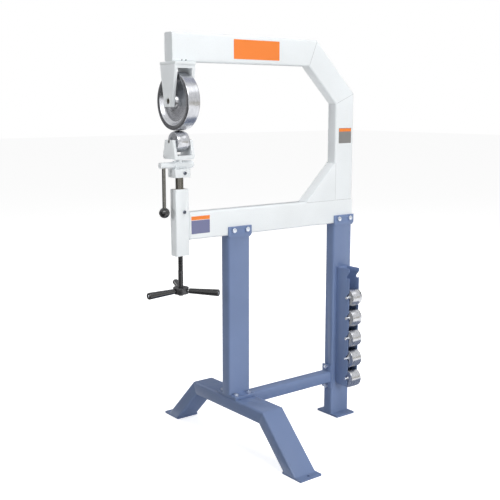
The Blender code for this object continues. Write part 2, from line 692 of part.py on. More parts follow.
def cam_reach(angle):
    """How far the cam reaches towards an angle from +Y. It grows at one rate over the working swing."""
    peak = math.pi / 2
    first = peak - math.radians(CAM_SWING_DEG + CAM_SPARE_DEG)
    last = peak + math.radians(CAM_SPARE_DEG)
    angle = first + (angle - first) % (2 * math.pi)
    if angle <= last:
        return CAM_TOP + CAM_RATE * (angle - peak)
    span = first + 2 * math.pi - last
    share = (angle - last) / span
    high, low = CAM_TOP + CAM_RATE * (last - peak), CAM_TOP + CAM_RATE * (first - peak)
    square, cube = share**2, share**3
    ends = high * (2 * cube - 3 * square + 1) + low * (3 * square - 2 * cube)
    return ends + CAM_RATE * span * (2 * cube - 3 * square + share)


def cam_outline():
    """The cam's edge, as (y, z). Each point is where a flat face square to its angle would touch it."""
    points = []
    for i in range(CAM_STEPS):
        angle = 2 * math.pi * i / CAM_STEPS
        reach = cam_reach(angle)
        lean = (cam_reach(angle + SMALL_ANGLE) - cam_reach(angle - SMALL_ANGLE)) / (2 * SMALL_ANGLE)
        y = reach * math.cos(angle) - lean * math.sin(angle)
        z = reach * math.sin(angle) + lean * math.cos(angle)
        points.append((y, z))
    return points


def add_cam_shaft():
    """A journal with the lever's hole, the cam, and a thinner tail, in one piece."""
    origin = add_joint_origin("cam_joint", (ROLL_X, 0, CAM_Z))
    place = origin.location
    journal = rod(CAM_JOURNAL, CAM_NOSE_X - ROLL_X, -CAM_HALF, "x", SOFT_EDGE, FIT_STEPS)
    shaft = add_object("cam_shaft", journal, WHITE, place, origin, True)
    join(shaft, "cam_lobe", extruded(cam_outline(), "x", -CAM_HALF - OVERRUN, CAM_HALF), place)
    join(shaft, "cam_tail", small_rod(CAM_TAIL, CAM_HALF - GAP, CAM_HALF + CAM_TAIL_LONG, "x"), place)
    seat = LEVER_SEAT - CAM_JOURNAL
    hole = small_rod(LEVER_RADIUS + GAP, -CAM_JOURNAL - OVERRUN, seat, "z")
    cut(shaft, "lever_hole", hole, (LEVER_X, 0, CAM_Z))
    low = KNOB_HOLE - KNOB_BELOW_CAM
    lever = rod(LEVER_RADIUS, low, seat - GAP, "z", SOFT_EDGE, SMALL_STEPS)
    add_object("lever_rod", lever, DARK, (LEVER_X, 0, CAM_Z), origin, True)
    add_ball_knob(origin)


def add_ball_knob(origin):
    """A ball with a flat seat and a blind hole for the lever."""
    hole, floor = LEVER_RADIUS + GAP, KNOB_HOLE - GAP
    rim = LEVER_RADIUS + KNOB_FLAT
    last = math.acos(rim / KNOB_RADIUS)
    steps = SMALL_STEPS // 2
    turns = [-math.pi / 2 + (last + math.pi / 2) * i / steps for i in range(1, steps + 1)]
    profile = [(0, -KNOB_RADIUS)]
    profile += [(KNOB_RADIUS * math.cos(turn), KNOB_RADIUS * math.sin(turn)) for turn in turns]
    profile += [(hole, KNOB_RADIUS * math.sin(last)), (hole, floor), (0, floor)]
    place = (LEVER_X, 0, CAM_Z - KNOB_BELOW_CAM)
    add_object("ball_knob", turned(profile, "z"), PLASTIC, place, origin, True)


def barrel_profile():
    start, end = BARREL_FRONT - ROLL_X, BARREL_BACK - ROLL_X
    profile = [(0, start), (BARREL_RADIUS - SOFT_EDGE, start), (BARREL_RADIUS, start + SOFT_EDGE)]
    shift = (BARREL_RADIUS - BARREL_DOME, end - BARREL_DOME)
    profile += [(shift[0] + a, shift[1] + b) for a, b in quarter_arc(BARREL_DOME, EDGE_STEPS)]
    return profile + [(0, end)]


def cut_housing_bores(housing):
    """The bores for the cam shaft, for the yoke's stem and the lift shaft, and for the clamp screw."""
    front, room_end = BARREL_FRONT - ROLL_X - OVERRUN, CAM_HALF + GAP
    tail = CAM_HALF + CAM_TAIL_LONG + GAP
    rows = [(CAM_JOURNAL + RUNNING, front, -CAM_HALF + GAP), (CAM_TOP + CAM_CLEAR, -CAM_HALF + GAP, room_end)]
    rows.append((CAM_TAIL + RUNNING, room_end, tail))
    cut(housing, "cam_bore", stepped_bore(rows, "x"), (ROLL_X, 0, CAM_Z))
    floor = SHAFT_TOP + GAP
    rows = [(SHAFT_RADIUS + GAP, BLOCK_BOTTOM - OVERRUN, floor)]
    rows.append((STEM_RADIUS + RUNNING, floor, CAM_Z + BARREL_RADIUS + OVERRUN))
    cut(housing, "stem_bore", stepped_bore(rows, "z"), (ROLL_X, 0, 0))
    place = (ROLL_X + KEY_OFFSET, 0, BLOCK_BOTTOM + BLOCK_HIGH / 2)
    cut(housing, "clamp_hole", small_rod(CLAMP_RADIUS + GAP, -BLOCK_DEEP, -KEY_OFFSET, "y"), place)


def add_cam_housing(origin):
    """The block on the lift shaft, and the barrel welded across it."""
    long, deep = BLOCK_LONG / 2, BLOCK_DEEP / 2
    plan = rounded_rectangle(ROLL_X - long, ROLL_X + long, -deep, deep, BLOCK_EDGE, 1)
    block = extruded(plan, "z", BLOCK_BOTTOM, BLOCK_TOP)
    housing = add_object("cam_housing", block, WHITE, (0, 0, 0), origin)
    join(housing, "housing_barrel", turned(barrel_profile(), "x", FIT_STEPS), (ROLL_X, 0, CAM_Z))
    low = (BARREL_FRONT + SOFT_EDGE, -NECK_HALF, BLOCK_TOP - OVERRUN)
    high = (ROLL_X + long - BLOCK_EDGE, NECK_HALF, BLOCK_TOP + NECK_UP)
    join(housing, "housing_neck", box(low, high))
    cut_housing_bores(housing)


def add_clamp_screw(name, place, face, tip, origin=None):
    """A round headed screw from the front face in to its tip. Both are measured along Y."""
    outer = face - CLAMP_HEAD_HIGH
    profile = [(0, outer), (CLAMP_HEAD_RADIUS - SOFT_EDGE, outer), (CLAMP_HEAD_RADIUS, outer + SOFT_EDGE)]
    profile += [(CLAMP_HEAD_RADIUS, face), (CLAMP_RADIUS, face), (CLAMP_RADIUS, tip), (0, tip)]
    add_object(name, turned(profile, "y", SMALL_STEPS), OXIDE, place, origin, True)


def add_lift_post():
    """The keyed shaft that slides in the sleeve, with the cam housing clamped on top."""
    origin = add_joint_origin("lift_post_joint", (ROLL_X, 0, SHAFT_BOTTOM))
    column = (ROLL_X, 0, 0)
    shaft = rod(SHAFT_RADIUS, SHAFT_BOTTOM, SHAFT_TOP, "z", SOFT_EDGE)
    item = add_object("lift_shaft", shaft, DARK, column, origin, True)
    low = (ROLL_X + KEY_OFFSET - KEY_WIDE / 2, -2 * SHAFT_RADIUS, SLEEVE_BOLT_Z - KEY_BELOW_BOLT)
    high = (ROLL_X + KEY_OFFSET + KEY_WIDE / 2, -KEY_FLOOR, SLEEVE_BOLT_Z + KEY_ABOVE_BOLT)
    cut(item, "key_slot", box(low, high))
    add_cam_housing(origin)
    tip = math.sqrt(SHAFT_RADIUS**2 - (KEY_OFFSET - CLAMP_RADIUS) ** 2)
    place = (ROLL_X + KEY_OFFSET, 0, BLOCK_BOTTOM + BLOCK_HIGH / 2)
    add_clamp_screw("housing_screw", place, -BLOCK_DEEP / 2 - GAP, -tip - GAP, origin)


def add_sleeve():
    """The square sleeve at the beam's end, with a bush on top, a nut below and the key bolt in its face."""
    wide, deep = SLEEVE_WIDE / 2, SLEEVE_DEEP / 2
    tube = (SLEEVE_DEEP, SLEEVE_WALL, SLEEVE_CORNER)
    sides = (ROLL_X - wide, ROLL_X + wide)
    sleeve = add_upright_tube("sleeve", *sides, SLEEVE_BOTTOM, SLEEVE_TOP, WHITE, *tube)
    place = (ROLL_X + KEY_OFFSET, 0, SLEEVE_BOLT_Z)
    cut(sleeve, "sleeve_bolt_hole", small_rod(CLAMP_RADIUS + GAP, -SLEEVE_DEEP, 0, "y"), place)
    add_clamp_screw("sleeve_bolt", place, -deep - GAP, -KEY_FLOOR - GAP)
    fit, corner = SLEEVE_WALL + GAP, SLEEVE_CORNER - SLEEVE_WALL / 2
    inside = (sides[0] + fit, sides[1] - fit, fit - deep, deep - fit)
    plan = rounded_rectangle(*inside, corner, EDGE_STEPS)
    rows = [("guide_bush", SLEEVE_TOP - BUSH_LONG, SLEEVE_TOP, SHAFT_RADIUS, BRONZE)]
    rows.append(("screw_nut", SLEEVE_BOTTOM, SLEEVE_BOTTOM + NUT_LONG, SCREW_RADIUS, STEEL))
    for name, low, high, radius, finish in rows:
        plug = add_object(name, extruded(plan, "z", low, high), finish)
        bore = rod(radius + RUNNING, low - OVERRUN, high + OVERRUN, "z", 0.0, FIT_STEPS)
        cut(plug, name + "_bore", bore, (ROLL_X, 0, 0))


def add_hand_screw():
    """The lifting screw with its hub and three handles."""
    origin = add_joint_origin("hand_screw_joint", (ROLL_X, 0, HAND_Z))
    half, edge, nose = HAND_HUB_HIGH / 2, HAND_HUB_EDGE, HAND_NOSE_RADIUS
    floor = HAND_HUB_FLOOR - half
    top = SHAFT_BOTTOM - GAP - HAND_Z
    screw = rod(SCREW_RADIUS, floor + GAP, top, "z", SOFT_EDGE)
    add_object("lifting_screw", screw, OXIDE, origin.location, origin, True)
    radius, bore, foot = HAND_HUB_RADIUS, SCREW_RADIUS + GAP, -half - HAND_NOSE_HIGH
    profile = [(0, foot), (nose, foot), (nose, -half), (radius - edge, -half), (radius, edge - half)]
    profile += [(radius, half - edge), (radius - edge, half), (bore, half), (bore, floor), (0, floor)]
    hub = add_object("handle_hub", turned(profile, "z"), OXIDE, origin.location, origin, True)
    for i in range(HANDLE_COUNT):
        angle = math.radians(HANDLE_FIRST_DEG) + 2 * math.pi * i / HANDLE_COUNT
        add_handle(i + 1, angle, hub, origin)


def grip_profile():
    bore, root, tip = SPOKE_RADIUS + GAP, GRIP_ROOT_RADIUS, GRIP_TIP_RADIUS
    profile = [(bore, GRIP_START), (root - SOFT_EDGE, GRIP_START), (root, GRIP_START + SOFT_EDGE)]
    shift = (tip - GRIP_ROUND, GRIP_END - GRIP_ROUND)
    profile += [(shift[0] + a, shift[1] + b) for a, b in quarter_arc(GRIP_ROUND, EDGE_STEPS)]
    return profile + [(bore, GRIP_END)]


def add_handle(number, angle, hub, origin):
    start = HAND_HUB_RADIUS - SPOKE_SEAT
    spoke = small_rod(SPOKE_RADIUS, start, GRIP_END - SPOKE_SHORT, "x")
    hole = small_rod(SPOKE_RADIUS + GAP, start - GAP, HAND_HUB_RADIUS + OVERRUN, "x")
    grip = turned(grip_profile(), "x", SMALL_STEPS)
    turn = Matrix.Rotation(angle, 3, "Z")
    for shape in (spoke, hole, grip):
        bmesh.ops.rotate(shape, cent=(0, 0, 0), matrix=turn, verts=shape.verts)
    place = origin.location
    add_object(f"spoke_{number}", spoke, STEEL, place, origin, True)
    add_object(f"grip_{number}", grip, PLASTIC, place, origin, True)
    cut(hub, f"spoke_hole_{number}", hole, place)


def add_saddle(post, middle):
    """The seat on a post: a floor under the beam, and a bolted plate on each side of it."""
    name = post.name + "_saddle"
    half = TUBE_DEEP / 2 + GAP
    outer = half + SADDLE_THICK
    low = LOWER_BEAM_BOTTOM - GAP - SADDLE_THICK
    far = (middle + POST_WIDE / 2, outer, low + SADDLE_THICK)
    join(post, name + "_floor", box((middle - POST_WIDE / 2, -outer, low), far))
    wide, chamfer = SADDLE_WIDE / 2, SADDLE_CHAMFER
    bottom, top = LOWER_BEAM_BOTTOM - SADDLE_DROP, LOWER_BEAM_BOTTOM + SADDLE_RISE
    right = [(wide - chamfer, bottom), (wide, bottom + chamfer), (wide, top)]
    outline = [(middle + x, z) for x, z in right] + [(middle - x, z) for x, z in reversed(right)]
    join(post, name + "_front", extruded(outline, "y", -outer, -half))
    join(post, name + "_back", extruded(outline, "y", half, outer))
    for side in (-1, 1):
        place = (middle + side * SADDLE_BOLT_SPREAD, 0, SADDLE_BOLT_Z)
        cut(post, f"{name}_hole_{side}", small_rod(BOLT_HOLE, -TUBE_DEEP, TUBE_DEEP, "y"), place)


def add_post(name, middle, low, plate_long, plate_half, plate_thick):
    """An upright tube with a saddle on top, and below it a flat plate with a drain hole."""
    wide, half = POST_WIDE / 2, plate_long / 2
    start, top = low + plate_thick / 2, LOWER_BEAM_BOTTOM - GAP - SADDLE_THICK / 2
    tube = (POST_DEEP, STAND_WALL, STAND_CORNER)
    post = add_upright_tube(name, middle - wide, middle + wide, start, top, BLUE, *tube)
    plate = box((middle - half, -plate_half, low), (middle + half, plate_half, low + plate_thick))
    join(post, name + "_plate", plate)
    add_saddle(post, middle)
    drain = small_rod(DRAIN_RADIUS, -OVERRUN, plate_thick + OVERRUN, "z")
    cut(post, name + "_drain", drain, (middle, 0, low))
    return post


def base_bolt_places(height):
    places = {}
    for y_name, y_side in (("front", -1), ("back", 1)):
        for x_name, x_side in (("left", -1), ("right", 1)):
            place = (FRONT_POST_X + x_side * BASE_BOLT_X, y_side * BASE_BOLT_Y, height)
            places[f"{y_name}_{x_name}"] = place
    return places


def add_front_post():
    low = CROSS_TOP + GAP
    plate = (BASE_PLATE_LONG, BASE_PLATE_HALF, BASE_PLATE_THICK)
    post = add_post("front_post", FRONT_POST_X, low, *plate)
    for name, place in base_bolt_places(low).items():
        cut(post, f"base_hole_{name}", small_rod(BOLT_HOLE, -OVERRUN, 2 * BASE_PLATE_THICK, "z"), place)
    end = -BASE_PLATE_THICK - STAND_WALL - BOLT_HEAD_HIGH
    for name, place in base_bolt_places(low + BASE_PLATE_THICK + GAP).items():
        add_bolt(f"base_bolt_{name}", place, "z", (0, BOLT_HEAD_HIGH), end)


def add_rear_post():
    plate = (FOOT_PLATE_LONG, REAR_PLATE_HALF, FOOT_PLATE_THICK)
    post = add_post("rear_post", REAR_POST_X, 0, *plate)
    face = REAR_POST_X - POST_WIDE / 2
    under_head = -2 * GAP - BRACE_PLATE_THICK
    for name, side in (("upper", 1), ("lower", -1)):
        place = (face, 0, BRACE_Z + side * BRACE_BOLT_RISE)
        cut(post, f"brace_hole_{name}", small_rod(BOLT_HOLE, -OVERRUN, 2 * STAND_WALL, "x"), place)
        head = (under_head - BOLT_HEAD_HIGH, under_head)
        add_bolt(f"brace_bolt_{name}", place, "x", head, STAND_WALL + BOLT_HEAD_HIGH)


def add_saddle_bolts():
    """Bolts right through the saddles and the beam. Each is in one piece with its nut."""
    side = TUBE_DEEP / 2 + 2 * GAP + SADDLE_THICK
    outer = side + BOLT_HEAD_HIGH
    for post, middle in (("front", FRONT_POST_X), ("rear", REAR_POST_X)):
        for name, sign in (("left", -1), ("right", 1)):
            place = (middle + sign * SADDLE_BOLT_SPREAD, 0, SADDLE_BOLT_Z)
            full_name = f"saddle_bolt_{post}_{name}"
            bolt = add_bolt(full_name, place, "y", (-outer, -side), outer + BOLT_TAIL)
            join(bolt, full_name + "_nut", hexagon(BOLT_HEAD_RADIUS, side, outer, "y"), place)


def leg_corners():
    """The outer and inner corners, as (y, z), of the mitre and then of the foot, on the +Y side."""
    slope = math.radians(LEG_SLOPE_DEG)
    mitre_shift = CROSS_HIGH * math.tan(slope / 2)
    outer = Vector((CROSS_HALF, CROSS_TOP))
    inner = Vector((CROSS_HALF - mitre_shift, CROSS_TOP - CROSS_HIGH))
    down = Vector((1 / math.tan(slope), -1))
    feet = [corner + down * (corner.y - FOOT_PLATE_THICK) for corner in (outer, inner)]
    return outer, inner, feet[0], feet[1]


def cross_mitre(side):
    """What is cut off the end of the cross member at the mitre."""
    outer, inner, _, _ = leg_corners()
    lean = (outer - inner) / CROSS_HIGH * OVERRUN
    weld = Vector((GAP / 2, 0))
    top, bottom = outer - weld + lean, inner - weld - lean
    far = CROSS_HALF + CROSS_HIGH
    outline = [(top.x, top.y), (bottom.x, bottom.y), (far, bottom.y), (far, top.y)]
    wide = CROSS_WIDE
    return extruded([(side * y, z) for y, z in outline], "x", FRONT_POST_X - wide, FRONT_POST_X + wide)


def add_cross_member():
    """The level tube across the front, with mitred ends for the legs."""
    low, high, half = CROSS_TOP - CROSS_HIGH, CROSS_TOP, CROSS_WIDE / 2
    left, right, wall = FRONT_POST_X - half, FRONT_POST_X + half, STAND_WALL
    body = extruded(rounded_rectangle(left, right, low, high, STAND_CORNER), "y", -CROSS_HALF, CROSS_HALF)
    cross = add_object("cross_member", body, BLUE)
    corner = STAND_CORNER - wall / 2
    inner = rounded_rectangle(left + wall, right - wall, low + wall, high - wall, corner)
    cut(cross, "cross_bore", extruded(inner, "y", -CROSS_HALF - OVERRUN, CROSS_HALF + OVERRUN))
    for side in (-1, 1):
        cut(cross, f"cross_mitre_{side}", cross_mitre(side))
    for name, place in base_bolt_places(CROSS_TOP).items():
        cut(cross, f"cross_hole_{name}", small_rod(BOLT_HOLE, -2 * wall, OVERRUN, "z"), place)


def leg_bore(side):
    """The inside of a leg, which runs out past the mitre and down past the foot."""
    outer, inner, outer_foot, _ = leg_corners()
    run = (outer_foot - outer).normalized()
    across = (inner - outer) - run * run.dot(inner - outer)
    across.normalize()
    start, end = outer - run * CROSS_HIGH, outer_foot + run * CROSS_HIGH
    near, far = across * STAND_WALL, across * (CROSS_HIGH - STAND_WALL)
    outline = [(side * point.x, point.y) for point in (start + near, end + near, end + far, start + far)]
    half = CROSS_WIDE / 2 - STAND_WALL
    return extruded(outline, "x", FRONT_POST_X - half, FRONT_POST_X + half)


def round_tube_corners(leg):
    """Bevels the four edges that run down the leg."""
    weights = leg.data.attributes.new("bevel_weight_edge", "FLOAT", "EDGE")
    for edge in leg.data.edges:
        low, high = sorted(leg.data.vertices[i].co.z for i in edge.vertices)
        weights.data[edge.index].value = float(high - low > 2 * CROSS_HIGH)
    modifier = leg.modifiers.new("tube_corners", "BEVEL")
    modifier.width = STAND_CORNER
    modifier.segments = CORNER_STEPS
    modifier.limit_method = "WEIGHT"


def add_leg(name, side):
    """A splayed tube from the mitre down to its foot plate."""
    outer, inner, outer_foot, inner_foot = leg_corners()
    half, weld = CROSS_WIDE / 2, Vector((GAP / 2, 0))
    down = Vector((1 / math.tan(math.radians(LEG_SLOPE_DEG)), -1)) * FOOT_PLATE_THICK / 2
    points = [outer + weld, inner + weld, inner_foot + down, outer_foot + down]
    outline = [(side * point.x, point.y) for point in points]
    leg = add_object(name, extruded(outline, "x", FRONT_POST_X - half, FRONT_POST_X + half), BLUE)
    round_tube_corners(leg)
    cut(leg, name + "_bore", leg_bore(side))
    low, high = sorted((side * inner_foot.x, side * FOOT_OUTER_Y))
    long = FOOT_PLATE_LONG / 2
    plate = box((FRONT_POST_X - long, low, 0), (FRONT_POST_X + long, high, FOOT_PLATE_THICK))
    join(leg, name + "_plate", plate)
    place = (FRONT_POST_X, side * (FOOT_OUTER_Y - FOOT_HOLE_INSET), 0)
    cut(leg, name + "_hole", small_rod(FOOT_HOLE_RADIUS, -OVERRUN, 2 * FOOT_PLATE_THICK, "z"), place)


def add_brace():
    """The level tube from the cross member to the rear post, with an end plate for two bolts."""
    start = FRONT_POST_X + CROSS_WIDE / 2 + GAP
    face = REAR_POST_X - POST_WIDE / 2 - GAP
    inner = face - BRACE_PLATE_THICK
    end = inner + BRACE_PLATE_THICK / 2
    tube = (BRACE_DEEP, STAND_WALL, STAND_CORNER)
    brace = add_level_tube("brace", start, end, BRACE_TOP - BRACE_HIGH, BRACE_TOP, BLUE, *tube)
    half, high = BRACE_PLATE_DEEP / 2, BRACE_PLATE_HALF
    join(brace, "brace_plate", box((inner, -half, BRACE_Z - high), (face, half, BRACE_Z + high)))
    for side in (-1, 1):
        place = (inner, 0, BRACE_Z + side * BRACE_BOLT_RISE)
        hole = small_rod(BOLT_HOLE, -OVERRUN, 2 * BRACE_PLATE_THICK, "x")
        cut(brace, f"brace_plate_hole_{side}", hole, place)


def flange_outline():
    """The rack seen from the side, as (y, z). Both lower corners are rounded."""
    points = [(RACK_BACK, RACK_TOP), (RACK_FRONT, RACK_TOP)]
    small, large = RACK_CORNER / 2, RACK_CORNER
    points += [(RACK_FRONT + small - a, RACK_BOTTOM + small - b) for a, b in quarter_arc(small)]
    return points + [(RACK_BACK - large + b, RACK_BOTTOM + large - a) for a, b in quarter_arc(large)]


def notch_outline(pin_z):
    """A notch open towards -Y: a round seat, a level lip, and an upper edge that slopes up and out."""
    seat = ANVIL_PIN + GAP
    slope = math.radians(NOTCH_SLOPE_DEG)
    out = RACK_FRONT - OVERRUN
    first, last = math.asin(NOTCH_LIP / seat) - math.pi, math.pi / 2 - slope
    steps = SMALL_STEPS // 2
    points = [(out, pin_z - NOTCH_LIP)]
    for i in range(steps + 1):
        turn = first + (last - first) * i / steps
        points.append((SPARE_Y + seat * math.cos(turn), pin_z + seat * math.sin(turn)))
    rise = (points[-1][0] - out) * math.tan(slope)
    return points + [(out, points[-1][1] + rise)]


def add_rack():
    """A channel on the rear post, with a row of notches in each flange."""
    half = RACK_WIDE / 2
    inner = half - RACK_WALL
    left, right = REAR_POST_X - half, REAR_POST_X + half
    rack = add_object("rack", extruded(flange_outline(), "x", left, right), BLUE)
    low = (REAR_POST_X - inner, RACK_FRONT - OVERRUN, RACK_BOTTOM - OVERRUN)
    cut(rack, "rack_inside", box(low, (REAR_POST_X + inner, RACK_BACK - RACK_WALL, RACK_TOP + OVERRUN)))
    web_end = (REAR_POST_X + inner, RACK_BACK + OVERRUN, RACK_BOTTOM + RACK_CORNER)
    cut(rack, "rack_web_end", box(low, web_end))
    for i in range(NOTCH_COUNT):
        outline = notch_outline(FIRST_SPARE_Z + i * SPARE_PITCH)
        cut(rack, f"rack_notch_{i + 1}", extruded(outline, "x", left - OVERRUN, right + OVERRUN))


def add_spares():
    """The spare anvils, each on an axle of its own in a notch."""
    half = RACK_WIDE / 2 + SPARE_PIN_PROUD
    for i in range(SPARE_COUNT):
        place = (REAR_POST_X, SPARE_Y, FIRST_SPARE_Z + i * SPARE_PITCH)
        pin = rod(ANVIL_PIN, -half, half, "x", SOFT_EDGE, SMALL_STEPS)
        add_object(f"spare_axle_{i + 1}", pin, PLATED, place, None, True)
        add_anvil(f"spare_anvil_{i + 1}", SPARE_CROWNS[i], place)


def add_stand():
    add_front_post()
    add_rear_post()
    add_saddle_bolts()
    add_cross_member()
    add_leg("left_leg", -1)
    add_leg("right_leg", 1)
    add_brace()
    add_rack()
    add_spares()


def main():
    clear_scene()
    add_c_frame()
    add_fork()
    add_wheel_axle()
    add_upper_wheel()
    add_yoke()
    add_cam_shaft()
    add_lift_post()
    add_sleeve()
    add_hand_screw()
    add_stand()


main()
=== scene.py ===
"""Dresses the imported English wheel: finer pieces over its solids, their finishes, and a small studio.

Lengths are in metres, in the CAD's frame: +Z is up, the rolls turn about X, and the front faces -Y.
"""

import math

import bmesh
import bpy
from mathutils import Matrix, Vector


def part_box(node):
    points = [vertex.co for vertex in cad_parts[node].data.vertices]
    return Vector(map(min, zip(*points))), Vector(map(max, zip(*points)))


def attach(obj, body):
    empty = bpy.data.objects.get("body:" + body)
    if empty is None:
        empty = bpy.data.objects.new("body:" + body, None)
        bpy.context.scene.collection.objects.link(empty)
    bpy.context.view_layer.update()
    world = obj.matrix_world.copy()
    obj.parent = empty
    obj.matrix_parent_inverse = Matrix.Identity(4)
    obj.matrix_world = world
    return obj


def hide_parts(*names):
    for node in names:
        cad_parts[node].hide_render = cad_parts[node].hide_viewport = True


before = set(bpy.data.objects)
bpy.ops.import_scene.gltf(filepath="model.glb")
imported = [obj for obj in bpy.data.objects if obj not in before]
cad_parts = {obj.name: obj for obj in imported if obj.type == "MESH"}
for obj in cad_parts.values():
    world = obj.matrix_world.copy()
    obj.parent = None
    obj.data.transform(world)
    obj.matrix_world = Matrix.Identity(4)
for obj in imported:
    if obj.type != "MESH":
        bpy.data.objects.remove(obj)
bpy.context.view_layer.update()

bl_info = {
    "name": "English Wheel Dresser",
    "version": (1, 0, 0),
    "blender": (4, 5, 0),
    "location": "View3D > Sidebar > Wheel",
    "description": "Models and finishes the pieces of a floor-standing English wheel",
    "category": "Object",
}

# Points nearer than this merge. Faces count as flat, and edges as smooth, up to these angles.
MERGE = 0.00001
FLAT_DEG = 0.5
SMOOTH_DEG = 35.0

# Ground welds of the white tubes, seen as faint lines
SEAM_RADIUS = 0.0013
SEAM_SINK = 0.0010

# How a bar's fine marks stretch: along it, or around it
ALONG = (1.0, 1.0, 0.02)
AROUND = (0.02, 0.02, 1.0)
MARK_DEPTH = 0.00003
DEEP_MARKS = 0.0002

# Small screws at the foot of the top beam
FORK_SCREWS_X = (-0.345, -0.328)
FORK_SCREWS_Z = 1.4635

# Crown radius of each anvil, from full to nearly flat
ANVIL_CROWNS = {
    "anvil": 0.064, "spare_anvil_1": 0.300, "spare_anvil_2": 2.5, "spare_anvil_3": 0.150,
    "spare_anvil_4": 0.100, "spare_anvil_5": 0.075,
}
WEB_RADIUS = 0.0826
PIN_BORE = 0.00645
RECESS_RADIUS = 0.017

# Hexagon bolts of the stand
BOLT_RADIUS = 0.006
BOLT_HEAD_RADIUS = 0.0098
BOLT_HEAD_HIGH = 0.0075

# Key slot of the lift shaft: beside the middle, half its width, its floor, and its reach from the bolt
SLOT_SIDE = 0.007
SLOT_HALF = 0.004
SLOT_FLOOR = -0.0095
SLOT_BELOW = 0.014
SLOT_ABOVE = 0.052

# Lifting screw and its hub
THREAD_STOP = 0.056
THREAD_CORE = 0.0016
THREAD_CREST = 0.0001
HUB_NOSE_HIGH = 0.007

# Handles of the screw, measured along each from the screw's middle
SPOKE_RADIUS = 0.005
SPOKE_START = 0.019
SPOKE_HOLE = 0.0053
GRIP_START = 0.033
GRIP_END = 0.148
GRIP_ROOT = 0.0098
GRIP_TIP = 0.0128

# Plain labels: name, across, up, finish, thickness, corner
LABELS = (
    ("top_plate", (-0.120, 0.095), (1.474, 1.544), "orange_film", 0.0004, 0.002),
    ("side_label_base", (-0.315, -0.231), (0.8485, 0.9155), "pale_film", 0.0003, 0.002),
    ("side_label_head", (-0.3135, -0.2325), (0.900, 0.914), "orange_film", 0.0004, 0.0008),
    ("side_label_body", (-0.3135, -0.2325), (0.850, 0.8985), "slate_film", 0.0004, 0.0008),
    ("column_label_base", (0.411, 0.480), (1.156, 1.217), "grey_film", 0.0003, 0.0015),
    ("column_label_head", (0.4125, 0.4785), (1.203, 1.2155), "orange_film", 0.0004, 0.0008),
)

# Area lamps: name, place, target, width, and the setting that holds the power
LAMPS = (
    ("key_lamp", (0.6, -5.4, 1.5), (0.1, 0.0, 0.8), 3.4, "key_power"),
    ("top_lamp", (0.1, -0.8, 4.2), (0.0, 0.0, 0.8), 2.4, "top_power"),
    ("back_lamp", (0.2, 5.4, 1.8), (0.1, 0.0, 0.8), 3.4, "back_power"),
    ("right_lamp", (5.4, 0.8, 1.8), (0.3, 0.0, 0.8), 3.4, "back_power"),
)
SPOT_PLACE = (-3.25, -0.5, 1.7)
SPOT_TARGET = (-0.35, 0.0, 1.13)
SPOT_DEG = 25

# Boards that only reflections see: name, place, size, glow. These face the machine.
BOARD_TARGET = (-0.1, 0, 0.9)
STANDING_BOARDS = (
    ("dark_board_left", (-2.95, 2.85, 1.2), (2.3, 3.4), (0.36, 0.36, 0.37)),
    ("dark_board_far", (-0.8, 3.9, 0.3), (3.0, 1.3), (0.05, 0.05, 0.05)),
    ("dark_board_back", (2.7, 3.5, 1.1), (4.8, 3.6), (0.22, 0.22, 0.23)),
    ("dark_board_right", (4.2, 0.5, 0.9), (3.0, 2.6), (0.04, 0.04, 0.04)),
    ("dark_board_near", (-4.4, 0.9, 1.0), (2.2, 2.6), (0.06, 0.06, 0.06)),
    ("warm_board_right", (3.0, -4.2, 0.62), (4.5, 1.3), (0.74, 0.71, 0.63)),
    ("cool_board_top", (2.0, 0.8, 4.6), (3.2, 3.2), (0.62, 0.64, 0.74)),
    ("bright_board_top", (1.9, -2.2, 3.8), (1.9, 1.3), (2.0, 2.0, 2.0)),
    ("bright_board_left", (-3.2, -1.9, 1.7), (0.6, 1.5), (2.2, 2.2, 2.2)),
    ("bright_board_camera", (-1.9, -2.5, 3.5), (3.4, 1.7), (5.5, 5.5, 5.5)),
)
FLOOR_BOARDS = (
    ("dark_board_floor", (-1.8, 1.7, 0.002), (3.2, 4.0), (0.42, 0.42, 0.42)),
    ("dark_board_front", (-2.9, -1.9, 0.002), (4.2, 4.6), (0.08, 0.08, 0.08)),
    ("blue_board_floor", (0.5, -0.1, 0.002), (1.3, 1.1), (0.30, 0.34, 0.45)),
)
FLOOR_COLOUR = (0.8, 0.8, 0.8, 1)
FLOOR_GLOW = 0.72
CAMERA_PLACE = (-2.0158, -2.5447, 1.3105)
CAMERA_TURN_DEG = (80.315, 0.0, -38.019)

AXES = {"x": Vector((1, 0, 0)), "y": Vector((0, 1, 0)), "z": Vector((0, 0, 1))}
TURNS = {"x": (0, math.pi / 2, 0), "y": (-math.pi / 2, 0, 0), "z": (0, 0, 0)}


def middle(node):
    low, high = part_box(node)
    return (low + high) / 2


# Modelling helpers


def activate(item):
    bpy.ops.object.select_all(action="DESELECT")
    item.select_set(True)
    bpy.context.view_layer.objects.active = item


def begin_edit(item):
    activate(item)
    bpy.ops.object.mode_set(mode="EDIT")
    bpy.ops.mesh.select_all(action="SELECT")


def end_edit():
    bpy.ops.object.mode_set(mode="OBJECT")


def settle(name):
    """Names the new primitive and puts its place into its mesh."""
    item = bpy.context.object
    item.name = name
    bpy.ops.object.transform_apply(location=True, rotation=True, scale=True)
    return item


def put(item, place, turn=(0, 0, 0)):
    """Turns and moves a piece, and puts that into its mesh."""
    item.rotation_euler = turn
    item.location = place
    activate(item)
    bpy.ops.object.transform_apply(location=True, rotation=True, scale=True)


def add_block(name, low, high):
    low, high = Vector(low), Vector(high)
    bpy.ops.mesh.primitive_cube_add(size=1, location=(low + high) / 2, scale=high - low)
    return settle(name)


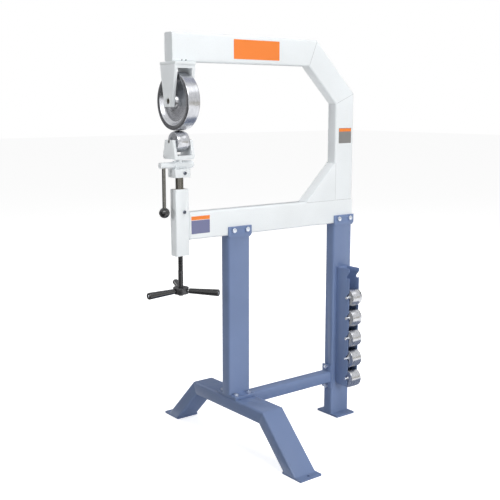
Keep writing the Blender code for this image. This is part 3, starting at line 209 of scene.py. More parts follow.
def round_lengthways(item, axis, radius, segments=6):
    """Bevels the edges that run along an axis."""
    begin_edit(item)
    bpy.ops.mesh.select_mode(type="EDGE")
    bpy.ops.mesh.select_all(action="DESELECT")
    for edge in bmesh.from_edit_mesh(item.data).edges:
        run = edge.verts[1].co - edge.verts[0].co
        if abs(run.normalized().dot(AXES[axis])) > 0.99:
            edge.select_set(True)
    bmesh.update_edit_mesh(item.data)
    bpy.ops.mesh.bevel(offset=radius, segments=segments, affect="EDGES")
    end_edit()
    return item


def cut_off(item, point, normal, fill=True):
    """Cuts away what is beyond a plane."""
    begin_edit(item)
    bpy.ops.mesh.bisect(plane_co=point, plane_no=normal, use_fill=fill, clear_outer=True)
    end_edit()


def soften(item, width, segments=2, limit=40.0):
    """Rounds the sharp edges a little, so that they catch the light."""
    activate(item)
    modifier = item.modifiers.new("soft_edges", "BEVEL")
    modifier.width = width
    modifier.segments = segments
    modifier.limit_method = "ANGLE"
    modifier.angle_limit = math.radians(limit)
    bpy.ops.object.modifier_apply(modifier=modifier.name)
    return item


def combine(item, tool, operation):
    """Cuts the tool out of the piece, or keeps what the two share, and takes the tool away."""
    activate(item)
    modifier = item.modifiers.new("combine", "BOOLEAN")
    modifier.operation = operation
    modifier.solver = "EXACT"
    modifier.object = tool
    bpy.ops.object.modifier_apply(modifier=modifier.name)
    bpy.data.objects.remove(tool, do_unlink=True)


def merge_pieces(name, items):
    """Joins objects into one and welds the points that meet."""
    activate(items[0])
    for item in items[1:]:
        item.select_set(True)
    bpy.ops.object.join()
    items[0].name = name
    begin_edit(items[0])
    bpy.ops.mesh.remove_doubles(threshold=MERGE)
    end_edit()
    return items[0]


def sort_faces(item):
    """Puts the faces in the order of their points, so that each run gives the same mesh."""
    shape = bmesh.new()
    shape.from_mesh(item.data)
    count = len(shape.verts)

    def order(face):
        first, second, third = sorted(vert.index for vert in face.verts)[:3]
        return first + (second + third * count) * count

    shape.faces.sort(key=order)
    shape.to_mesh(item.data)
    shape.free()


def add_turned(name, stations, axis, centre, steps, closed=False):
    """Turns a profile of (along, radius) stations, by extruding a circle from each to the next."""
    direction = AXES[axis]
    along, radius = stations[0]
    place = Vector(centre) + direction * along
    fill = "NOTHING" if closed else "NGON"
    bpy.ops.mesh.primitive_circle_add(
        vertices=steps, radius=radius, fill_type=fill, location=place, rotation=TURNS[axis])
    item = settle(name)
    begin_edit(item)
    for next_along, next_radius in stations[1:]:
        shift = direction * (next_along - along)
        bpy.ops.mesh.extrude_region_move(TRANSFORM_OT_translate={"value": shift})
        place = place + shift
        share = next_radius / radius
        grow = tuple(1.0 if part else share for part in direction)
        bpy.ops.transform.resize(value=grow, center_override=place)
        along, radius = next_along, next_radius
    bpy.ops.mesh.select_all(action="SELECT")
    bpy.ops.mesh.remove_doubles(threshold=MERGE)
    bpy.ops.mesh.normals_make_consistent(inside=False)
    end_edit()
    sort_faces(item)
    return item


def arc(centre, radius, start, end, steps):
    """Stations on an arc about (along, radius). Angles are in degrees, from the axis to the rim."""
    points = []
    for i in range(steps + 1):
        turn = math.radians(start + (end - start) * i / steps)
        points.append((centre[0] + radius * math.cos(turn), centre[1] + radius * math.sin(turn)))
    return points


def add_rod(name, radius, low, high, axis, centre, edge=0.0008, steps=64):
    thin = radius - edge
    stations = [(low, thin), (low + edge, radius), (high - edge, radius), (high, thin)]
    return add_turned(name, stations, axis, centre, steps)


def add_line(name, points, radius=0.0, cyclic=False):
    """A round bead along a line of points, or with no radius the bare line."""
    curve = bpy.data.curves.new(name, "CURVE")
    curve.dimensions = "3D"
    spline = curve.splines.new("POLY")
    spline.points.add(len(points) - 1)
    for point, target in zip(spline.points, points):
        point.co = (*target, 1.0)
    spline.use_cyclic_u = cyclic
    curve.bevel_depth = radius
    curve.bevel_resolution = 3
    curve.use_fill_caps = True
    item = bpy.data.objects.new(name, curve)
    bpy.context.scene.collection.objects.link(item)
    activate(item)
    bpy.ops.object.convert(target="MESH")
    return bpy.context.object


def skin_loop(start, end, deep, corner):
    """Points round a tube, in the plane through two of its outer corners, a little below its skin."""
    along, long = (end - start).normalized(), (end - start).length
    low, high, half = SEAM_SINK, long - SEAM_SINK, deep - SEAM_SINK
    middles = [(high - corner, half - corner), (low + corner, half - corner)]
    middles += [(low + corner, corner - half), (high - corner, corner - half)]
    points = []
    for quarter, (a, b) in enumerate(middles):
        for i in range(7):
            turn = (quarter + i / 6) * math.pi / 2
            out = along * (a + corner * math.cos(turn))
            points.append(start + out + Vector((0, b + corner * math.sin(turn), 0)))
    return points


def finish(item, material, body, slot, *nodes):
    """Shades a piece, gives it its finish and hangs it on its body in place of its CAD nodes."""
    activate(item)
    bpy.ops.object.shade_smooth_by_angle(angle=math.radians(SMOOTH_DEG))
    item.data.materials.clear()
    item.data.materials.append(stock(material) if isinstance(material, str) else material)
    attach(item, body)
    if nodes:
        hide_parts(*nodes)


def dress_solid(node, material, body, slot, width, segments=2, limit=40.0):
    """Finishes a copy of a CAD node, with its triangles merged into flat faces and soft edges."""
    item = bpy.data.objects.new(node + "_piece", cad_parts[node].data.copy())
    bpy.context.scene.collection.objects.link(item)
    activate(item)
    bpy.ops.mesh.customdata_custom_splitnormals_clear()
    begin_edit(item)
    bpy.ops.mesh.remove_doubles(threshold=MERGE)
    bpy.ops.mesh.dissolve_limited(angle_limit=math.radians(FLAT_DEG))
    end_edit()
    if width:
        soften(item, width, segments, limit)
    finish(item, material, body, slot, node)


def finish_node(node, material):
    """Gives a CAD node that stays in view its finish."""
    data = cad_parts[node].data
    data.materials.clear()
    data.materials.append(material)


# Shared effects, as node groups


def new_group(name, inputs, outputs):
    """An empty shader node group, its sockets to read from and its sockets to fill.

    Inputs are (name, kind, default) and outputs are names of values.
    """
    group = bpy.data.node_groups.new(name, "ShaderNodeTree")
    for label, kind, default in inputs:
        socket = group.interface.new_socket(label, in_out="INPUT", socket_type=kind)
        if default is not None:
            socket.default_value = default
    for label in outputs:
        group.interface.new_socket(label, in_out="OUTPUT", socket_type="NodeSocketFloat")
    source, result = group.nodes.new("NodeGroupInput"), group.nodes.new("NodeGroupOutput")
    return group, source.outputs, result.inputs


def feed(tree, socket, value):
    """Sets a socket to a number, or links it to another socket."""
    if isinstance(value, (int, float)):
        socket.default_value = value
    else:
        tree.links.new(value, socket)


def math_node(tree, operation, first, second=0.0):
    node = tree.nodes.new("ShaderNodeMath")
    node.operation = operation
    feed(tree, node.inputs[0], first)
    feed(tree, node.inputs[1], second)
    return node.outputs[0]


def ray_mask(tree, *others):
    """One for the camera's rays, for reflections and for the other named rays, and zero for light."""
    path = tree.nodes.new("ShaderNodeLightPath").outputs
    mask = math_node(tree, "MAXIMUM", path["Is Camera Ray"], path["Is Glossy Ray"])
    for name in others:
        mask = math_node(tree, "MAXIMUM", mask, path[name])
    return mask


def noise_node(tree, vector, scale, detail=2.0, rough=0.5):
    node = tree.nodes.new("ShaderNodeTexNoise")
    for label, value in zip(("Vector", "Scale", "Detail", "Roughness"), (vector, scale, detail, rough)):
        feed(tree, node.inputs[label], value)
    return node.outputs["Fac"]


def range_node(tree, mask, first, last, low=0.0, high=1.0):
    """Runs from low to high as the mask runs from first to last."""
    node = tree.nodes.new("ShaderNodeMapRange")
    for socket, value in zip(node.inputs, (mask, first, last, low, high)):
        feed(tree, socket, value)
    return node.outputs[0]


def paint_skin_group():
    """The faint orange peel of sprayed enamel, and its slow change of tone."""
    inputs = [("Vector", "NodeSocketVector", None), ("Peel Scale", "NodeSocketFloat", 320.0)]
    group, source, result = new_group("paint_skin", inputs, ["Peel", "Tone", "Specks"])
    links = group.links
    peel = noise_node(group, source["Vector"], source["Peel Scale"], 1.5, 0.4)
    slow = noise_node(group, source["Vector"], 5.0, 3.0, 0.55)
    dust = noise_node(group, source["Vector"], 900.0, 1.0, 0.3)
    specks = math_node(group, "GREATER_THAN", dust, 0.74)
    links.new(peel, result["Peel"])
    links.new(slow, result["Tone"])
    links.new(specks, result["Specks"])
    return group


def turning_marks_group():
    """Fine rings left by the lathe and the grinder, about the coordinates' X axis."""
    inputs = [("Vector", "NodeSocketVector", None), ("Density", "NodeSocketFloat", 1400.0)]
    group, source, result = new_group("turning_marks", inputs, ["Rings", "Bands"])
    links = group.links
    parts = group.nodes.new("ShaderNodeSeparateXYZ")
    links.new(source["Vector"], parts.inputs[0])
    square_y = math_node(group, "MULTIPLY", parts.outputs["Y"], parts.outputs["Y"])
    square_z = math_node(group, "MULTIPLY", parts.outputs["Z"], parts.outputs["Z"])
    total = math_node(group, "ADD", square_y, square_z)
    radius = math_node(group, "SQRT", total)
    joined = group.nodes.new("ShaderNodeCombineXYZ")
    links.new(parts.outputs["X"], joined.inputs["X"])
    links.new(radius, joined.inputs["Y"])
    rings = noise_node(group, joined.outputs[0], source["Density"], 3.0, 0.6)
    bands = noise_node(group, joined.outputs[0], 160.0, 2.0, 0.5)
    links.new(rings, result["Rings"])
    links.new(bands, result["Bands"])
    return group


def drawn_lines_group():
    """Fine lines along or around a bar that lies along Z, and a slow change of tone."""
    inputs = [("Vector", "NodeSocketVector", None), ("Fineness", "NodeSocketFloat", 1200.0)]
    inputs += [("Stretch", "NodeSocketVector", ALONG)]
    group, source, result = new_group("drawn_lines", inputs, ["Lines", "Tone"])
    links = group.links
    squeeze = group.nodes.new("ShaderNodeMapping")
    links.new(source["Stretch"], squeeze.inputs["Scale"])
    links.new(source["Vector"], squeeze.inputs["Vector"])
    lines = noise_node(group, squeeze.outputs[0], source["Fineness"], 2.0, 0.6)
    tone = noise_node(group, source["Vector"], 45.0, 3.0, 0.6)
    links.new(lines, result["Lines"])
    links.new(tone, result["Tone"])
    return group


def handling_group():
    """Smudges from hands and oil, as a mask."""
    inputs = [("Vector", "NodeSocketVector", None), ("Size", "NodeSocketFloat", 30.0)]
    group, source, result = new_group("handling", inputs, ["Smudge"])
    links = group.links
    broad = noise_node(group, source["Vector"], source["Size"], 4.0, 0.62)
    links.new(range_node(group, broad, 0.42, 0.68), result["Smudge"])
    return group


GROUPS = {}


def shared_group(name):
    makers = {
        "paint_skin": paint_skin_group,
        "turning_marks": turning_marks_group,
        "drawn_lines": drawn_lines_group,
        "handling": handling_group,
    }
    if name not in GROUPS:
        GROUPS[name] = makers[name]()
    return GROUPS[name]


# Finishes


def plain_material(name, **values):
    """A material whose values are set on the shader's own sockets. Returns the shader as well."""
    material = bpy.data.materials.new(name)
    material.use_nodes = True
    shader = material.node_tree.nodes["Principled BSDF"]
    for label, value in values.items():
        shader.inputs[label.replace("_", " ")].default_value = value
    return material, shader


class Finish:
    """A material in the making: its tree, its shader, and the object coordinates about a centre."""

    def __init__(self, name, centre=(0, 0, 0), **values):
        self.material, self.shader = plain_material(name, **values)
        self.nodes = self.material.node_tree.nodes
        self.links = self.material.node_tree.links
        place = self.nodes.new("ShaderNodeTexCoord")
        shift = self.nodes.new("ShaderNodeMapping")
        shift.inputs["Location"].default_value = -Vector(centre)
        self.links.new(place.outputs["Object"], shift.inputs["Vector"])
        self.vector = shift.outputs[0]

    def effect(self, name, **values):
        node = self.nodes.new("ShaderNodeGroup")
        node.node_tree = shared_group(name)
        self.links.new(self.vector, node.inputs["Vector"])
        for label, value in values.items():
            node.inputs[label.replace("_", " ")].default_value = value
        return node.outputs

    def spread(self, mask, low, high):
        """A value that runs from low to high as the mask runs over the middle of its range."""
        return range_node(self.material.node_tree, mask, 0.3, 0.7, low, high)

    def tint(self, mask, first, second):
        node = self.nodes.new("ShaderNodeMix")
        node.data_type = "RGBA"
        for socket, value in (("A", first), ("B", second)):
            target = next(s for s in node.inputs if s.name == socket and s.type == "RGBA")
            if isinstance(value, bpy.types.NodeSocket):
                self.links.new(value, target)
            else:
                target.default_value = (*value, 1.0)
        self.links.new(mask, node.inputs[0])
        return next(s for s in node.outputs if s.type == "RGBA")

    def colour(self, socket):
        self.links.new(socket, self.shader.inputs["Base Color"])

    def rough(self, socket):
        self.links.new(socket, self.shader.inputs["Roughness"])

    def bump(self, height, distance, strength):
        node = self.nodes.new("ShaderNodeBump")
        node.inputs["Strength"].default_value = strength
        node.inputs["Distance"].default_value = distance
        self.links.new(height, node.inputs["Height"])
        self.links.new(node.outputs[0], self.shader.inputs["Normal"])


def mixed(colour, share):
    return tuple(part * share for part in colour)


def enamel(name, colour, peel, rough, dark=0.94, coat=0.3, shine=0.5):
    made = Finish(name, Coat_Weight=coat, Coat_Roughness=0.14, Specular_IOR_Level=shine)
    skin = made.effect("paint_skin", Peel_Scale=peel)
    smudge = made.effect("handling", Size=14.0)["Smudge"]
    tone = made.spread(skin["Tone"], 0.0, 1.0)
    base = made.tint(tone, mixed(colour, dark), colour)
    made.colour(made.tint(skin["Specks"], base, mixed(colour, 0.8)))
    made.rough(made.spread(smudge, rough, rough + 0.07))
    made.bump(skin["Peel"], 0.00025, 0.35)
    return made.material


def turned_steel(name, centre, colour, rough, dark=0.86, density=1400.0, depth=0.00006):
    made = Finish(name, centre, Metallic=1.0)
    marks = made.effect("turning_marks", Density=density)
    smudge = made.effect("handling", Size=60.0)["Smudge"]
    bands = made.spread(marks["Bands"], 0.0, 1.0)
    base = made.tint(bands, mixed(colour, dark), colour)
    made.colour(made.tint(smudge, base, mixed(colour, 0.82)))
    made.rough(made.spread(marks["Rings"], rough - 0.07, rough + 0.09))
    made.bump(marks["Rings"], depth, 0.5)
    return made.material


def bar_steel(name, colour, rough, metallic=1.0, dark=0.7, stretch=ALONG, depth=MARK_DEPTH):
    made = Finish(name, Metallic=metallic)
    lines = made.effect("drawn_lines", Stretch=stretch)
    smudge = made.effect("handling", Size=80.0)["Smudge"]
    tone = made.spread(lines["Tone"], 0.0, 1.0)
    base = made.tint(tone, mixed(colour, dark), colour)
    made.colour(made.tint(smudge, base, mixed(colour, 0.75)))
    made.rough(made.spread(lines["Lines"], rough - 0.06, rough + 0.1))
    made.bump(lines["Lines"], depth, 0.5)
    return made.material


def plated_steel(name, colour, rough):
    made = Finish(name, Metallic=1.0)
    lines = made.effect("drawn_lines", Fineness=500.0)
    smudge = made.effect("handling", Size=160.0)["Smudge"]
    bloom = (colour[0] * 0.86, colour[1] * 0.9, colour[2])
    made.colour(made.tint(smudge, colour, bloom))
    made.rough(made.spread(lines["Tone"], rough, rough + 0.14))
    made.bump(lines["Tone"], 0.0001, 0.2)
    return made.material


def moulded(name, colour, rough, coat):
    made = Finish(name, Coat_Weight=coat, Coat_Roughness=0.06, Specular_IOR_Level=0.5)
    skin = made.effect("paint_skin", Peel_Scale=700.0)
    smudge = made.effect("handling", Size=70.0)["Smudge"]
    made.colour(made.tint(skin["Tone"], mixed(colour, 0.8), mixed(colour, 1.3)))
    made.rough(made.spread(smudge, rough, rough + 0.18))
    made.bump(skin["Peel"], 0.0001, 0.2)
    return made.material


def film(name, colour):
    """Printed plastic film."""
    made = Finish(name, Coat_Weight=0.2, Coat_Roughness=0.2)
    skin = made.effect("paint_skin", Peel_Scale=500.0)
    made.colour(made.tint(skin["Tone"], mixed(colour, 0.93), colour))
    made.rough(made.spread(skin["Tone"], 0.32, 0.42))
    made.bump(skin["Peel"], 0.00008, 0.2)
    return made.material


MADE = {}


def stock(name):
    """The machine's finishes, each made when it is first asked for."""
    if name not in MADE:
        paint = bpy.context.scene.wheel_paint
        metal = bpy.context.scene.wheel_metal
        roll = middle("upper_wheel")
        makers = {
            "white_enamel": (enamel, tuple(paint.white), 300.0, 0.30),
            "seam_enamel": (enamel, mixed(paint.white, 0.62), 900.0, 0.45, 0.8, 0.1),
            "blue_enamel": (enamel, tuple(paint.blue), 260.0, 0.36, 0.9, 0.2, 0.4),
            "wheel_steel": (turned_steel, roll, tuple(metal.steel), metal.steel_rough),
            "web_steel": (turned_steel, roll, tuple(metal.steel), 0.24, 0.9, 2200.0, 0.00022),
            # A darker copy of the ground steel: painted shade for the rim's side faces
            "rim_steel": (turned_steel, roll, mixed(metal.steel, 0.44), 0.24, 0.8, 1800.0, 0.0001),
            "shaft_steel": (bar_steel, tuple(metal.dark), 0.16, 1.0, 0.8, AROUND, DEEP_MARKS),
            "lever_steel": (bar_steel, tuple(metal.lever), 0.18, 1.0, 0.8, AROUND, DEEP_MARKS),
            "screw_steel": (bar_steel, (0.20, 0.22, 0.27), 0.2),
            "spoke_steel": (bar_steel, (0.8, 0.8, 0.81), 0.2, 1.0, 0.85),
            "black_oxide": (bar_steel, tuple(metal.oxide), 0.24, 0.7, 0.7, AROUND, DEEP_MARKS),
            "bolt_zinc": (plated_steel, tuple(metal.zinc), 0.22),
            "pin_zinc": (plated_steel, (0.86, 0.88, 0.9), 0.16),
            "knob_black": (moulded, tuple(paint.black), 0.10, 0.5),
            "grip_black": (moulded, tuple(paint.black), 0.16, 0.5),
            "seal_black": (moulded, (0.02, 0.02, 0.021), 0.5, 0.0),
            "bush_steel": (plated_steel, (0.36, 0.31, 0.25), 0.35),
            "orange_film": (film, tuple(paint.orange)),
            "slate_film": (film, tuple(paint.slate)),
            "grey_film": (film, tuple(paint.grey)),
            "pale_film": (film, (0.86, 0.87, 0.87)),
        }
        maker, *values = makers[name]
        MADE[name] = maker(name, *values)
    return MADE[name]


# Settings

COLOUR = {"subtype": "COLOR", "size": 3, "min": 0, "max": 1}


class PaintSettings(bpy.types.PropertyGroup):
    white: bpy.props.FloatVectorProperty(
        name="White enamel", description="Colour of the C frame",
        default=(0.82, 0.855, 0.875), **COLOUR)
    blue: bpy.props.FloatVectorProperty(
        name="Slate enamel", description="Colour of the stand",
        default=(0.162, 0.229, 0.405), **COLOUR)
    black: bpy.props.FloatVectorProperty(
        name="Black plastic", description="Colour of the knob and grips",
        default=(0.010, 0.010, 0.011), **COLOUR)
    orange: bpy.props.FloatVectorProperty(
        name="Orange film", description="Colour of the plain plates",
        default=(0.9, 0.226, 0.027), **COLOUR)
    slate: bpy.props.FloatVectorProperty(
        name="Slate film", description="Body of the larger label",
        default=(0.165, 0.178, 0.32), **COLOUR)
    grey: bpy.props.FloatVectorProperty(
        name="Grey film", description="Body of the smaller label",
        default=(0.22, 0.215, 0.21), **COLOUR)


class MetalSettings(bpy.types.PropertyGroup):
    steel: bpy.props.FloatVectorProperty(
        name="Ground steel", description="Colour of the wheel and the anvils",
        default=(0.57, 0.58, 0.61), **COLOUR)
    steel_rough: bpy.props.FloatProperty(
        name="Steel roughness", description="How dull the ground steel is",
        default=0.22, min=0.05, max=1)
    dark: bpy.props.FloatVectorProperty(
        name="Oiled steel", description="Colour of the lift shaft",
        default=(0.21, 0.20, 0.18), **COLOUR)
    lever: bpy.props.FloatVectorProperty(
        name="Lever steel", description="Colour of the lever rod",
        default=(0.22, 0.215, 0.20), **COLOUR)
    oxide: bpy.props.FloatVectorProperty(
        name="Black oxide", description="Colour of the lifting screw",
        default=(0.085, 0.085, 0.09), **COLOUR)
    zinc: bpy.props.FloatVectorProperty(
        name="Zinc plate", description="Colour of the bolts", default=(0.72, 0.76, 0.82), **COLOUR)


class ShapeSettings(bpy.types.PropertyGroup):
    tube_corner: bpy.props.FloatProperty(
        name="Tube corner", description="Outer corner radius of the white tubes", default=0.008,
        min=0.001, max=0.02, unit="LENGTH")
    soft_edge: bpy.props.FloatProperty(
        name="Soft edge", description="Width of the rounding on painted edges", default=0.001,
        min=0.0002, max=0.004, unit="LENGTH")
    pitch: bpy.props.FloatProperty(
        name="Thread pitch", description="Pitch of the lifting screw", default=0.00423, min=0.001,
        max=0.01, unit="LENGTH")
    bead: bpy.props.FloatProperty(
        name="Weld bead", description="Radius of the weld beads",
        default=0.0022, min=0.0005, max=0.006,
        unit="LENGTH")


class StudioSettings(bpy.types.PropertyGroup):
    lens: bpy.props.FloatProperty(
        name="Lens", description="Focal length of the camera, in millimetres", default=61.29, min=20,
        max=200, unit="CAMERA")
    key_power: bpy.props.FloatProperty(
        name="Key lamp", description="Power of the large lamp in front",
        default=139.0, min=0, unit="POWER")
    top_power: bpy.props.FloatProperty(
        name="Top lamp", description="Power of the lamp overhead", default=62.0, min=0, unit="POWER")
    back_power: bpy.props.FloatProperty(
        name="Back lamps", description="Power of each lamp behind and on the right",
        default=90.0, min=0, unit="POWER")
    side_power: bpy.props.FloatProperty(
        name="Side lamp", description="Power of the spot lamp on the frame's nose",
        default=195.0, min=0, unit="POWER")
    sky: bpy.props.FloatProperty(
        name="Room light", description="Strength of the light from all round",
        default=0.30, min=0, max=2)


# Pieces


def tube_along(name, low, high, axis):
    corner = bpy.context.scene.wheel_shape.tube_corner
    return round_lengthways(add_block(name, low, high), axis, corner)


class FrameOperator(bpy.types.Operator):
    """Builds the C frame as one weldment, with mitres that are ground flush"""

    bl_idname = "wheeling.c_frame"
    bl_label = "C frame"

    def execute(self, context):
        edge = context.scene.wheel_shape.soft_edge
        top_low, top_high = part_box("top_beam")
        column_low, column_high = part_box("column")
        beam_low, beam_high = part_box("lower_beam")
        deep, high = top_high.y, top_high.z - top_low.z
        start = Vector((top_high.x, 0, top_high.z))
        end = Vector((column_high.x, 0, column_high.z))
        run = (end - start).normalized()
        angle = math.atan2(-run.z, run.x)
        upper_inner = start + Vector((-high * math.tan(angle / 2), 0, -high))
        lower_inner = end + Vector((-high, 0, -high * math.tan((math.pi / 2 - angle) / 2)))
        upper_run, lower_run = (start - upper_inner).normalized(), (end - lower_inner).normalized()
        upper_normal = Vector((upper_run.z, 0, -upper_run.x))
        lower_normal = Vector((lower_run.z, 0, -lower_run.x))
        past = high
        top = tube_along("top", (top_low.x, -deep, top_low.z), (start.x + past, deep, top_high.z), "x")
        cut_off(top, start, upper_normal, False)
        long = (end - start).length
        slope = tube_along("slope", (-past, -deep, -high), (long + past, deep, 0), "x")
        put(slope, start, (0, angle, 0))
        cut_off(slope, start, -upper_normal, False)
        cut_off(slope, end, lower_normal, False)
        corner = context.scene.wheel_shape.tube_corner
        foot = beam_high.z - corner
        column_end = (column_high.x, deep, end.z + past)
        column = tube_along("column_tube", (column_low.x, -deep, foot), column_end, "z")
        cut_off(column, end, -lower_normal, False)
        arch = merge_pieces("c_frame_arch", [top, slope, column])
        soften(arch, edge, 3, 60.0)
        beam = tube_along("beam", beam_low, beam_high, "x")
        soften(beam, edge, 3, 60.0)
        frame_piece = merge_pieces("c_frame_weldment", [arch, beam])
        nodes = ("top_beam", "diagonal_beam", "column", "lower_beam")
        finish(frame_piece, "white_enamel", "frame", "white_paint", *nodes)
        self.add_gusset(edge, corner)
        self.add_beads(context)
        self.add_seams(deep, corner, [(start, upper_inner), (end, lower_inner)])
        return {"FINISHED"}

    def add_gusset(self, edge, corner):
        """The gusset, grown into the tubes' rounded edges, where the weld fills the real one up."""
        low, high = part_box("corner_gusset")
        grown = high + Vector((corner - 0.0002, 0, corner))
        wedge = add_block("corner_gusset_piece", low - Vector((corner, 0, corner - 0.0002)), grown)
        rise, run = high.z - low.z, high.x - low.x
        cut_off(wedge, (low.x, 0, low.z), Vector((-rise, 0, run)).normalized())
        soften(wedge, edge)
        finish(wedge, "white_enamel", "frame", "white_paint", "corner_gusset")

    def add_beads(self, context):
        """Small painted beads where the gusset meets the tubes and the sleeve meets the beam."""
        radius = context.scene.wheel_shape.bead
        low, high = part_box("corner_gusset")
        sleeve_low, sleeve_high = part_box("sleeve")
        beam_low, beam_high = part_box("lower_beam")
        side, x = high.y, sleeve_high.x
        front, back = sleeve_low.y, sleeve_high.y
        under, over = beam_low.z + 0.006, beam_high.z - 0.006
        lines = {
            "bead_gusset_foot": [(low.x, -side, low.z), (low.x, side, low.z)],
            "bead_gusset_top": [(high.x, -side, high.z), (high.x, side, high.z)],
            "bead_sleeve_front": [(x, front, under), (x, front, over)],
            "bead_sleeve_back": [(x, back, under), (x, back, over)],
            "bead_sleeve_top": [(x, front, beam_high.z), (x, back, beam_high.z)],
        }
        for name, points in lines.items():
            finish(add_line(name, points, radius), "white_enamel", "frame", "white_paint")

    def add_seams(self, deep, corner, mitres):
        """Ground welds, flush with the tubes and seen as faint grey lines."""
        for name, (outer, inner) in zip(("seam_upper_mitre", "seam_lower_mitre"), mitres):
            self.finish_seam(name, skin_loop(outer, inner, deep, corner), True)
        low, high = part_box("corner_gusset")
        column_low, column_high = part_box("column")
        level = low.z - corner / 2
        foot = Vector((column_low.x, 0, level)), Vector((column_high.x, 0, level))
        self.finish_seam("seam_column_foot", skin_loop(*foot, deep, corner), True)
        for name, side in (("front", -1), ("back", 1)):
            y = side * (deep - SEAM_SINK)
            edge = high.x + corner / 2
            points = [(low.x, y, level), (edge, y, level), (edge, y, high.z)]
            self.finish_seam(f"seam_gusset_{name}", points, False)

    def finish_seam(self, name, points, closed):
        finish(add_line(name, points, SEAM_RADIUS, closed), "seam_enamel", "frame", "white_paint")


class ForkOperator(bpy.types.Operator):
    """Dresses the fork under the top beam and the plate that it is welded to"""

    bl_idname = "wheeling.fork"
    bl_label = "Fork"

    def execute(self, context):
        edge = context.scene.wheel_shape.soft_edge
        for node in ("fork", "fork_plate"):
            dress_solid(node, "white_enamel", "frame", "white_paint", edge)
        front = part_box("top_beam")[0].y
        for number, x in enumerate(FORK_SCREWS_X, 1):
            stations = [(0.0004, 0.0011), (-0.0006, 0.0012), (-0.0006, 0.0021), (0.0004, 0.0026)]
            screw = add_turned(f"fork_screw_{number}", stations, "y", (x, front, FORK_SCREWS_Z), 24)
            finish(screw, "black_oxide", "frame", "black_oxide")
        return {"FINISHED"}


class UpperWheelOperator(bpy.types.Operator):
    """Turns the upper wheel with its hub, dished web and rim, and its two bearings"""

    bl_idname = "wheeling.upper_wheel"
    bl_label = "Upper wheel"

    def execute(self, context):
        low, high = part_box("upper_wheel")
        centre, radius = (low + high) / 2, (high.z - low.z) / 2
        hub, half, web = (high.x - low.x) / 2, 0.0254, 0.010
        bore, lip, seat = 0.0203, 0.0193, 0.015
        outer = [
            (seat, lip), (seat, bore), (hub - 0.0008, bore), (hub, bore + 0.0008), (hub, 0.0247),
            (hub - 0.0008, 0.0255), (web + 0.006, 0.0285), (web + 0.0048, 0.0312),
            (web + 0.0040, 0.0345), (web, 0.0690), (web + 0.0010, 0.0725), (web + 0.0045, 0.0760),
            (half - 0.003, 0.0824), (half - 0.0008, 0.0842), (half, 0.0856),
        ]
        edge = 0.005
        outer += arc((half - edge, radius - edge), edge, 0, 90, 8)
        inner = [(-along, size) for along, size in reversed(outer)]
        stations = outer + inner + [outer[0]]
        wheel = add_turned("upper_wheel_piece", stations, "x", centre, 160, True)
        finish(wheel, "wheel_steel", "wheel", "ground_steel", "upper_wheel")
        wheel.data.materials.append(stock("web_steel"))
        wheel.data.materials.append(stock("rim_steel"))
        for face in wheel.data.polygons:
            spot = face.center - centre
            if math.hypot(spot.y, spot.z) < WEB_RADIUS:
                face.material_index = 1
            # The rim's side faces take the darker copy of the steel, which is painted shade
            elif abs(spot.x) > half - 0.0012:
                face.material_index = 2
        for side in ("front", "back"):
            self.add_bearing(side, centre)
        return {"FINISHED"}

    def add_bearing(self, side, centre):
        """Outer race, recessed seal and inner race."""
        node = f"wheel_bearing_{side}"
        low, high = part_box(node)
        sign = -1 if side == "front" else 1
        outward = max(abs(low.x - centre.x), abs(high.x - centre.x))
        inward = min(abs(low.x - centre.x), abs(high.x - centre.x))
        bore = 0.0086
        stations = [
            (inward, bore), (outward - 0.0006, bore), (outward, bore + 0.0006), (outward, 0.0122),
            (outward - 0.0008, 0.0126), (outward - 0.0008, 0.0164), (outward, 0.0168),
            (outward, 0.0194), (outward - 0.0006, 0.0200), (inward, 0.0200), (inward, bore),
        ]
        stations = [(sign * along, size) for along, size in stations]
        ring = add_turned(node + "_piece", stations, "x", centre, 64, True)
        finish(ring, "pin_zinc", "wheel", "ground_steel", node)
        ring.data.materials.append(stock("seal_black"))
        for face in ring.data.polygons:
            spot = face.center - centre
            away = math.hypot(spot.y, spot.z)
            face.material_index = int(0.0123 < away < 0.0167 and abs(spot.x) > outward - 0.002)


def add_hexagon(name, radius, low, high, axis, centre):
    """A hexagon with the turned chamfer of a bolt head on its outer face."""
    direction = AXES[axis]
    place = Vector(centre) + direction * (low + high) / 2
    bpy.ops.mesh.primitive_cylinder_add(
        vertices=6, radius=radius, depth=abs(high - low), location=place, rotation=TURNS[axis])
    head = settle(name)
    long, wide, flat = high - low, radius * 1.02, radius * math.cos(math.pi / 6)
    stations = [(low - long * 0.2, wide), (high - long * 0.16, wide), (high, flat * 0.95)]
    tool = add_turned("chamfer", stations, axis, centre, 48)
    combine(head, tool, "INTERSECT")
    return soften(head, radius * 0.03, 1, 25.0)


class AxleOperator(bpy.types.Operator):
    """Makes the upper wheel's axle bolt and its nut"""

    bl_idname = "wheeling.wheel_axle"
    bl_label = "Wheel axle"

    def execute(self, context):
        low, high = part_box("wheel_axle")
        nut_low, nut_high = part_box("axle_nut")
        centre = middle("upper_wheel")
        x = centre.x
        face, end = low.x - x, high.x - x
        under, cap, shank, radius = face + 0.0045, 0.0098, 0.0085, 0.0125
        stations = [
            (face + 0.0026, 0.0041), (face + 0.0003, 0.0043), (face, 0.0047), (face, cap - 0.0013),
            (face + 0.0004, cap - 0.0005), (face + 0.0013, cap), (under, cap), (under, shank),
            (end - 0.001, shank), (end, shank - 0.001),
        ]
        bolt = add_turned("wheel_axle_piece", stations, "x", centre, 64)
        # The bolt's dark oiled steel also paints in the shade of the counterbore around its head
        finish(bolt, "shaft_steel", "frame", "dark_steel", "wheel_axle")
        nut = add_hexagon("axle_nut_piece", radius, nut_low.x - x, nut_high.x - x, "x", centre)
        bore = add_rod("nut_bore", 0.0088, nut_low.x - x - 0.01, nut_high.x - x + 0.01, "x", centre)
        combine(nut, bore, "DIFFERENCE")
        finish(nut, "shaft_steel", "frame", "dark_steel", "axle_nut")
        return {"FINISHED"}


